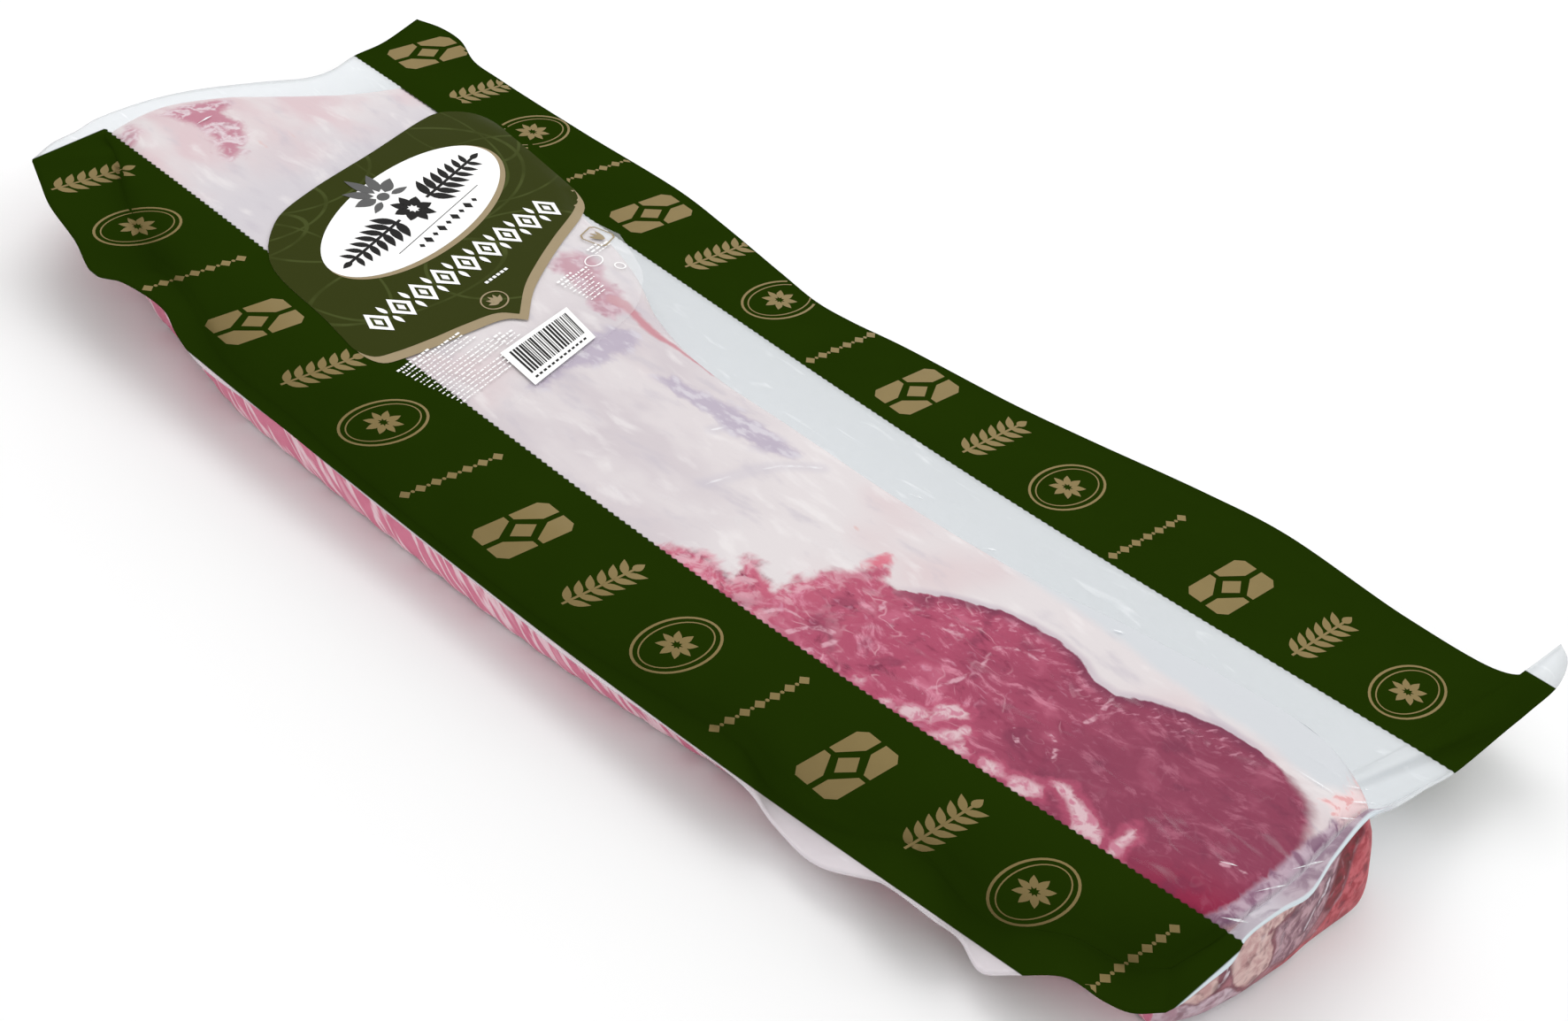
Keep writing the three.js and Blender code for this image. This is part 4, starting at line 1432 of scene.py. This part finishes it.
def bar(u0, v0, u1, v1, steps=1):
    """A straight bar, cut into steps along u: its points and faces."""
    us = np.linspace(u0, u1, steps + 1)
    points = [(u, v0) for u in us] + [(u, v1) for u in us]
    faces = [(k, k + 1, steps + 2 + k, steps + 1 + k) for k in range(steps)]
    return np.array(points), faces


def draw_bar(art, local, *sizes):
    """A straight bar, given as for bar()."""
    points, faces = bar(*sizes)
    art.add(local(points), faces)


# ---- the bands' motifs ----------------------------------------------------------------------


def draw_sprig(art, local):
    """A stem with pairs of leaves."""
    draw_bar(art, local, -15, -0.45, 15, 0.45, 8)
    for k in range(6):
        u = -13 + 4.8 * k
        for side in (-1, 1):
            art.polygon(local(leaf((u, 0), (u + 5.2, side * 5.6), 1.5)))
    art.polygon(local(leaf((14.5, 0), (20, 0), 1.6)))


def draw_rosette(art, local):
    """Two rings round a flower of eight petals."""
    for outer, inner in (((17, 11), (16, 10.1)), ((14.4, 8.6), (13.9, 8.1))):
        art.ring(local(oval(*outer)), local(oval(*inner)))
    for k in range(8):
        way = np.array((math.cos(k * math.pi / 4), math.sin(k * math.pi / 4)))
        art.polygon(local(leaf(way * 1.1, way * (7.2, 6.2), 1.35)))


def draw_rule(art, local):
    """A row of lozenges between dots."""
    for k in range(-3, 4):
        art.polygon(local(lozenge(k * 6.4, 0, 2.3, 2.0)))
    for k in range(-3, 3):
        art.polygon(local(oval(0.7, 0.7, 10, ((k + 0.5) * 6.4, 0))))


def draw_tile(art, local):
    """A broad tile with a lozenge and four darts cut out of it."""
    hub, corner = np.array((7.5, 4.6)), np.array((16, 8.4))
    for su in (-1, 1):
        for sv in (-1, 1):
            outline = [(1.0, hub[1] + 1.2), (1.0, corner[1]), (corner[0] - 3, corner[1]),
                       (corner[0], corner[1] - 2.4), (corner[0], 1.0), (hub[0] + 1.8, 1.0)]
            art.polygon(local(np.array(outline) * (su, sv)))
    art.polygon(local(lozenge(0, 0, 5.6, 3.6)))


BAND_PITCH = 33.7
BAND_MOTIFS = 15
# Each band's middle, its first motif's place along it and the first motif's number.
BAND_ROWS = ((5.0, 21, 3), (176.5, 12, 2))
BAND_MOTIF_WAY = (0.06, 1)
# The motifs next to the label end lie up to END_SHIFT further across, over a length of END_REACH.
END_SHIFT = 6
END_REACH = 60


def build_band_motifs(sizes, colours, film):
    """Gold motifs along both bands: rosettes, rules, tiles and sprigs in turn."""
    art = Artwork(Drape(*film_surface(film), ARTWORK_PLANE), sizes.print_lift)
    drawers = (draw_rosette, draw_rule, draw_tile, draw_sprig)
    for middle, start, first in BAND_ROWS:
        for k in range(BAND_MOTIFS):
            x = start + k * BAND_PITCH
            place = (x, middle + print_bow(x) + END_SHIFT * max(0, 1 - x / END_REACH))
            drawers[(k + first) % len(drawers)](art, Local(place, BAND_MOTIF_WAY))
    gold = plain_look("motif_gold", tuple(colours.motif_gold))
    return art.make("band_motifs", gold, "film")


# Painted glints on the film's creases, which also stand for its small white print.
# White creases in the clear film: (x, y) of both ends and a half width, in the artwork's plane.
GLINTS = (
    ((-23, 52), (-19, 60), 1.0), ((-32, 120), (-29, 129), 1.0), ((-31, 151), (-28, 156), 0.6),
    ((318, 118), (323, 120), 0.6), ((352, 116), (356, 119), 0.6), ((404, 118), (408, 120), 0.6),
    ((499, 113), (505, 119), 0.8), ((494, 118), (501, 123), 0.5), ((500, 103), (505, 108), 0.6),
    ((480, 111.4), (494, 112), 0.4), ((500, 38), (507, 43), 0.9), ((501, 55), (506, 66), 0.5),
    ((503, 72), (508, 84), 0.5), ((10, 66), (8, 75), 0.6), ((487, 57), (492, 60), 0.4),
)


def build_glints(sizes, film):
    """Short white creases that catch the light on the clear film."""
    art = Artwork(Drape(*film_surface(film), ARTWORK_PLANE), sizes.print_lift)
    for start, end, width in GLINTS:
        run = np.subtract(end, start)
        side = np.array((-run[1], run[0])) / np.linalg.norm(run) * width
        art.polygon([start, start + run * 0.6 - side * 0.4, end, start + run * 0.7 + side])
    return art.make("film_glints", glint_look(), "film")


# ---- the label ------------------------------------------------------------------------------

# Its parts as they look on the level plane LABEL_PLANE.
SHIELD_UPPER = [
    (91, 32.3), (85, 38.5), (77.5, 49), (70.5, 69), (61.5, 107), (53.2, 140), (52.3, 148),
    (54.2, 154.3), (60, 161), (68, 163.3), (80, 162), (104, 158.2), (125, 154), (132, 150),
    (136.5, 143.5), (145.4, 124.6), (154.4, 107.1), (162.9, 92.9), (174.8, 78.7),
]
SHIELD_LOWER = [
    (174.8, 78.7), (170.4, 73), (169.1, 58), (169.1, 42.5), (168.3, 27), (166.5, 18.8),
    (161, 16.1), (150, 17), (134.3, 19.8), (110, 22.8), (99.8, 26.2), (91, 32.3),
]
PANEL = [
    (152.7, 147.6), (166, 141.5), (175, 136.7), (181.6, 129.8), (190.6, 116.7), (194.8, 103.8),
    (198.1, 90.1), (204, 58), (209.9, 28), (208.5, 19.5), (200, 14.5), (189, 12.9), (175, 14),
    (160, 16.2), (140, 25), (120, 60), (110, 110), (125, 140),
]
OVAL_MIDDLE = (99.4, 93.3)
OVAL_HALF = (55, 21.8)
TEXT_WAY = (-0.3272, 0.9449)
BORDER_WIDTH = 4.4
LABEL_BRIDGE = 43.0
SHIELD_CORNER = (50, 20)
LAYER = 0.05


def shield_outline(inset):
    """The shield, with its two lower scallops moved up by a border's width."""
    upper = curve(SHIELD_UPPER)(np.linspace(0, 1, 120))[:-1, :2]
    lower = curve(SHIELD_LOWER)(np.linspace(0, 1, 90))[:-1, :2]
    outline = np.vstack([upper, lower])
    at_far_corner = ramp(outline[:, 0], (120, 134))
    at_near_corner = ramp(outline[:, 0], (146, 160))
    share = np.where(outline[:, 1] < 40, at_near_corner, at_far_corner)
    outline[:, 0] -= inset * share
    return outline


def build_label(sizes, colours, film):
    """The label's film and everything printed on it, in thin layers."""
    drape = Drape(*label_bed(film), LABEL_PLANE)

    def layer(number):
        return Artwork(drape, sizes.label_lift + number * LAYER * MM)

    def sheet(name, outline, number, material, spot=None):
        art = layer(number)
        art.field(outline, SHEET_STEP)
        return art.make(name, material, "label_sheet", spot)

    beige = plain_look("label_beige", tuple(colours.label_beige))
    white = plain_look("label_white", tuple(colours.label_white), 0.01)
    grey = plain_look("label_grey", tuple(colours.label_grey), 0.1)
    ink = plain_look("label_ink", tuple(colours.label_ink))
    panel = sheet("label_panel", smooth_outline(PANEL, 150), 0, panel_look(), tuple)
    edging = sheet("label_edging", shield_outline(0), 1, beige)
    shield = sheet("label_shield", shield_outline(BORDER_WIDTH), 2, olive_look(colours),
                   lambda p: (p[1] - SHIELD_CORNER[1], p[0] - SHIELD_CORNER[0]))
    for piece in (panel, edging, shield):
        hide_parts("label")

    middle = Local(OVAL_MIDDLE, TEXT_WAY)
    shifted = Local(np.array(OVAL_MIDDLE) + (1.0, 0.6), TEXT_WAY)
    sheet("oval_edging", shifted(oval(OVAL_HALF[0] + 0.8, OVAL_HALF[1] + 1.2, 90)), 3, beige)
    sheet("oval_field", middle(oval(*OVAL_HALF, 90)), 4, white)
    for name, draw, number, material in (
        ("oval_ornament", draw_ornament, 5, ink), ("oval_crest", draw_crest, 6, grey),
        ("label_white_print", draw_white_print, 5, white), ("label_small_marks", draw_small_marks, 5, beige),
        ("bar_box", draw_bar_box, 5, white), ("bars", draw_bars, 6, ink),
    ):
        art = layer(number)
        draw(art)
        art.make(name, material, "label_sheet")


def draw_ornament(art):
    """A bold black laurel along the oval, with a rosette in the middle and a row of lozenges."""
    local = Local(OVAL_MIDDLE, TEXT_WAY)
    for k in range(8):
        way = np.array((math.cos((k + 0.5) * math.pi / 4), math.sin((k + 0.5) * math.pi / 4)))
        art.polygon(local(leaf(way * 1.6, way * 8.6, 2.2)))
    for side in (-1, 1):
        draw_bar(art, local, side * 10, -0.6, side * 46, 0.6, 14)
        for k in range(7):
            u = side * (12 + 4.9 * k)
            size = 1 - 0.065 * k
            for up in (-1, 1):
                tip = (u + side * 5.6 * size, up * 8.6 * size)
                art.polygon(local(leaf((u, 0), tip, 2.15 * size)))
        art.polygon(local(leaf((side * 45, 0), (side * 51, 0), 1.3)))
    draw_bar(art, local, -30, 10.6, 30, 10.9, 16)
    for k in range(-4, 5):
        art.polygon(local(lozenge(k * 5, 14.6, 1.9 if k % 2 else 1.3, 2.3 if k % 2 else 1.3)))


def draw_crest(art):
    """A grey fan of leaves on the oval's upper edge."""
    local = Local(OVAL_MIDDLE, TEXT_WAY)
    root = np.array((0.0, -12.5))
    for k in range(-2, 3):
        way = np.array((math.sin(k * 0.62), -math.cos(k * 0.62)))
        art.polygon(local(leaf(root + way * 3.4, root + way * (16.5 - abs(k) * 1.4), 2.5)))
    art.polygon(local(oval(3.0, 2.2, 16, root)))
    for side in (-1, 1):
        art.polygon(local(leaf(root + (side * 3.6, 1.4), root + (side * 12, 3.4), 1.5)))


TITLE_ENDS = ((149.2, 27), (123.8, 143))
PRINT_WAY = (-0.2144, 0.9767)
TITLE_COUNT = 9
ROW_PITCH = 1.85
# Blocks of dashes: the first row's place, rows, width and narrowing by row.
PRINT_BLOCKS = (
    ((172.5, 19), 15, 33, -0.9), ((176, 60), 4, 9, 0), ((163.5, 103), 9, 19, 1.0), ((154, 128), 3, 12, 0),
)


def draw_white_print(art):
    """The title row, a short line below it and blocks of small dashes on the clear panel."""
    span = float(np.linalg.norm(np.subtract(*TITLE_ENDS)))
    local = Local(TITLE_ENDS[0], PRINT_WAY)
    pitch = span / TITLE_COUNT
    for k in range(TITLE_COUNT):
        u = (k + 0.5) * pitch
        art.ring(local(lozenge(u, 0, 5.2, 6.6)), local(lozenge(u, 0, 2.9, 4.2)))
        art.polygon(local(lozenge(u, 0, 1.5, 2.2)))
        if k:
            for side in (-1, 1):
                art.polygon(local(leaf((k * pitch, side * 1.0), (k * pitch, side * 6.4), 1.1)))
    for k in range(6):
        draw_bar(art, local, span / 2 + k * 2.4 - 6, 11.8, span / 2 + k * 2.4 - 4.4, 13.0)
    rng = np.random.default_rng(11)
    for start, rows, width, narrowing in PRINT_BLOCKS:
        block = Local(start, PRINT_WAY)
        for row in range(rows):
            at = rng.uniform(0, 1.0)
            end = width - row * narrowing if row % 5 else width * 0.6
            while at < end - 0.8:
                run = min(rng.uniform(0.6, 2.6), end - at)
                top = row * ROW_PITCH + rng.uniform(-0.12, 0.12)
                height = 0.85 if row < 2 else rng.uniform(0.35, 0.6)
                draw_bar(art, block, at, top, at + run, top + height)
                at += run + rng.uniform(0.45, 0.9)
    for middle, a, b in (((160.5, 126), 4.6, 3.0), ((168, 132), 2.2, 2.2)):
        ring = Local(middle, PRINT_WAY)
        art.ring(ring(oval(a, b, 24)), ring(oval(a - 0.5, b - 0.5, 24)))


def draw_small_marks(art):
    """A ringed leaf fan by the shield's point and a square mark on the clear panel."""
    local = Local((159.5, 77), TEXT_WAY, 0.5)
    art.ring(local(oval(13, 9.5, 32)), local(oval(11.8, 8.3, 32)))
    for k in range(5):
        turn = math.pi * (0.14 + 0.18 * k)
        art.polygon(local(leaf((0, 4), (9.5 * math.cos(turn), 4 - 10 * math.sin(turn)), 1.9)))
    local = Local((149.5, 139), TEXT_WAY)
    quarter = [(-1, -0.7), (-0.7, -1), (0.7, -1), (1, -0.7)]
    corners = np.array(quarter + [(-u, -v) for u, v in quarter])
    art.ring(local(corners * 5.4), local(corners * 4.8))
    for side in (-1, 1):
        art.polygon(local(leaf((0, 3), (side * 2.6, -2.6), 0.9)))
    art.polygon(local(leaf((0, 3), (0, -3.6), 0.8)))


BAR_BOX = ((184.2, 56.0), (176.6, 95.8), (195.7, 91.2), (204.5, 53.1))


def in_box(u, v):
    """A place in the bar box, u along it and v down, both from 0 to 1."""
    corners = np.array(BAR_BOX)
    top = corners[0] + (corners[1] - corners[0]) * u
    low = corners[3] + (corners[2] - corners[3]) * u
    return top + (low - top) * v


def draw_bar_box(art):
    """The plain white field behind the bars."""
    points = [in_box(u, v) for v in np.linspace(0, 1, 5) for u in np.linspace(0, 1, 9)]
    faces = [(r * 9 + k, r * 9 + k + 1, r * 9 + k + 10, r * 9 + k + 9) for r in range(4) for k in range(8)]
    art.add(points, faces)


def draw_bars(art):
    """Bars of uneven width over a row of short dashes."""
    rng = np.random.default_rng(4)
    u = 0.08
    while u < 0.92:
        wide = rng.choice([0.009, 0.018, 0.028])
        rows = np.linspace(0.1, 0.76, 4)
        column = [in_box(u, v) for v in rows] + [in_box(u + wide, v) for v in rows]
        art.add(column, [(k, k + 1, k + 5, k + 4) for k in range(3)])
        u += wide + rng.choice([0.008, 0.014, 0.02])
    for k in range(13):
        u = 0.08 + 0.065 * k
        art.polygon([in_box(u, 0.85), in_box(u + 0.04, 0.85), in_box(u + 0.04, 0.9), in_box(u, 0.9)])


# ---- studio ---------------------------------------------------------------------------------

CAMERA_FORWARD = (-0.44108, 0.67273, -0.59404)
CAMERA_ROLL_DEGREES = 13.38
CAMERA_LENS = 60.465
CAMERA_SENSOR = 36
NEAREST_SEEN = 0.02
FLOOR_HALF_SIZE = 4.0
FLOOR_GAP = 0.0005
ROOM_LIGHT = 0.78
# Each lamp's name, place, size (m) and power (W); all of them look at the frame's origin.
LAMPS = (
    ("key", (-0.7, 0.5, 1.5), 1.2, 9), ("fill", (1.1, -0.9, 1.1), 1.0, 3), ("back", (0.3, 1.3, 0.9), 0.8, 3),
)


def build_studio(colours):
    """The floor, the soft light all round, three lamps and the photo's camera."""
    signs = ((-1, -1), (1, -1), (1, 1), (-1, 1))
    corners = [(u * FLOOR_HALF_SIZE, v * FLOOR_HALF_SIZE, 0) for u, v in signs]
    floor = make_object("floor", corners, [(0, 1, 2, 3)], floor_look(colours), smooth=False)
    floor.location.z = -FLOOR_GAP

    world = bpy.data.worlds.new("soft_room")
    world.use_nodes = True
    back = world.node_tree.nodes["Background"]
    back.inputs["Color"].default_value = (1, 1, 1, 1)
    back.inputs["Strength"].default_value = ROOM_LIGHT
    bpy.context.scene.world = world

    for name, where, size, power in LAMPS:
        light = bpy.data.lights.new(name, "AREA")
        light.size, light.energy = size, power
        lamp = bpy.data.objects.new(name, light)
        lamp.location = where
        lamp.rotation_euler = (-Vector(where)).to_track_quat("-Z", "Y").to_euler()
        bpy.context.scene.collection.objects.link(lamp)

    lens = bpy.data.cameras.new("camera")
    lens.lens = CAMERA_LENS
    lens.sensor_width = CAMERA_SENSOR
    lens.clip_start = NEAREST_SEEN
    camera = bpy.data.objects.new("camera", lens)
    turn = Vector(CAMERA_FORWARD).to_track_quat("-Z", "Y").to_matrix()
    roll = Matrix.Rotation(math.radians(CAMERA_ROLL_DEGREES), 3, "Z")
    camera.matrix_world = Matrix.Translation(to_frame([EYE])[0]) @ (turn @ roll).to_4x4()
    bpy.context.scene.collection.objects.link(camera)
    bpy.context.scene.camera = camera
    bpy.context.scene.view_settings.view_transform = "Standard"


# ---- operators, panel and registration ------------------------------------------------------


class PackOperator(bpy.types.Operator):
    """Common ground of the pack's operators"""

    bl_options = {"REGISTER"}

    def settings(self, context):
        return context.scene.loin_sizes, context.scene.loin_colours


class LOIN_OT_film(PackOperator):
    """Build the printed film bag"""

    bl_idname = "loin.film"
    bl_label = "Film bag"

    def execute(self, context):
        build_film(*self.settings(context))
        return {"FINISHED"}


class LOIN_OT_meat(PackOperator):
    """Build the pork loin"""

    bl_idname = "loin.meat"
    bl_label = "Pork loin"

    def execute(self, context):
        build_loin(*self.settings(context))
        return {"FINISHED"}


class LOIN_OT_motifs(PackOperator):
    """Build the gold motifs on the bands"""

    bl_idname = "loin.motifs"
    bl_label = "Band motifs"

    def execute(self, context):
        build_band_motifs(*self.settings(context), bpy.data.objects["film"])
        return {"FINISHED"}


class LOIN_OT_glints(PackOperator):
    """Build the white creases of the clear film, as painted glints"""

    bl_idname = "loin.glints"
    bl_label = "Film creases"

    def execute(self, context):
        build_glints(context.scene.loin_sizes, bpy.data.objects["film"])
        return {"FINISHED"}


class LOIN_OT_label(PackOperator):
    """Build the label and its print"""

    bl_idname = "loin.label"
    bl_label = "Label"

    def execute(self, context):
        build_label(*self.settings(context), bpy.data.objects["film"])
        return {"FINISHED"}


class LOIN_OT_studio(PackOperator):
    """Build the floor, lights and camera"""

    bl_idname = "loin.studio"
    bl_label = "Studio"

    def execute(self, context):
        build_studio(context.scene.loin_colours)
        return {"FINISHED"}


OPERATORS = (
    LOIN_OT_film, LOIN_OT_meat, LOIN_OT_motifs, LOIN_OT_glints, LOIN_OT_label, LOIN_OT_studio,
)


class LOIN_PT_panel(bpy.types.Panel):
    """Lists the steps that build the pack"""

    bl_label = "Pork loin"
    bl_idname = "LOIN_PT_panel"
    bl_space_type = "VIEW_3D"
    bl_region_type = "UI"
    bl_category = "Pork loin"

    def draw(self, context):
        for operator in OPERATORS:
            self.layout.operator(operator.bl_idname)
        for group in (context.scene.loin_sizes, context.scene.loin_colours):
            for name in group.__annotations__:
                self.layout.prop(group, name)


CLASSES = (LoinSizes, LoinColours, *OPERATORS, LOIN_PT_panel)


def register():
    for cls in CLASSES:
        bpy.utils.register_class(cls)
    bpy.types.Scene.loin_sizes = bpy.props.PointerProperty(type=LoinSizes)
    bpy.types.Scene.loin_colours = bpy.props.PointerProperty(type=LoinColours)


def unregister():
    del bpy.types.Scene.loin_sizes
    del bpy.types.Scene.loin_colours
    for cls in reversed(CLASSES):
        bpy.utils.unregister_class(cls)


def main():
    register()
    bpy.ops.loin.film()
    bpy.ops.loin.meat()
    bpy.ops.loin.motifs()
    bpy.ops.loin.glints()
    bpy.ops.loin.label()
    bpy.ops.loin.studio()


if __name__ == "__main__":
    main()
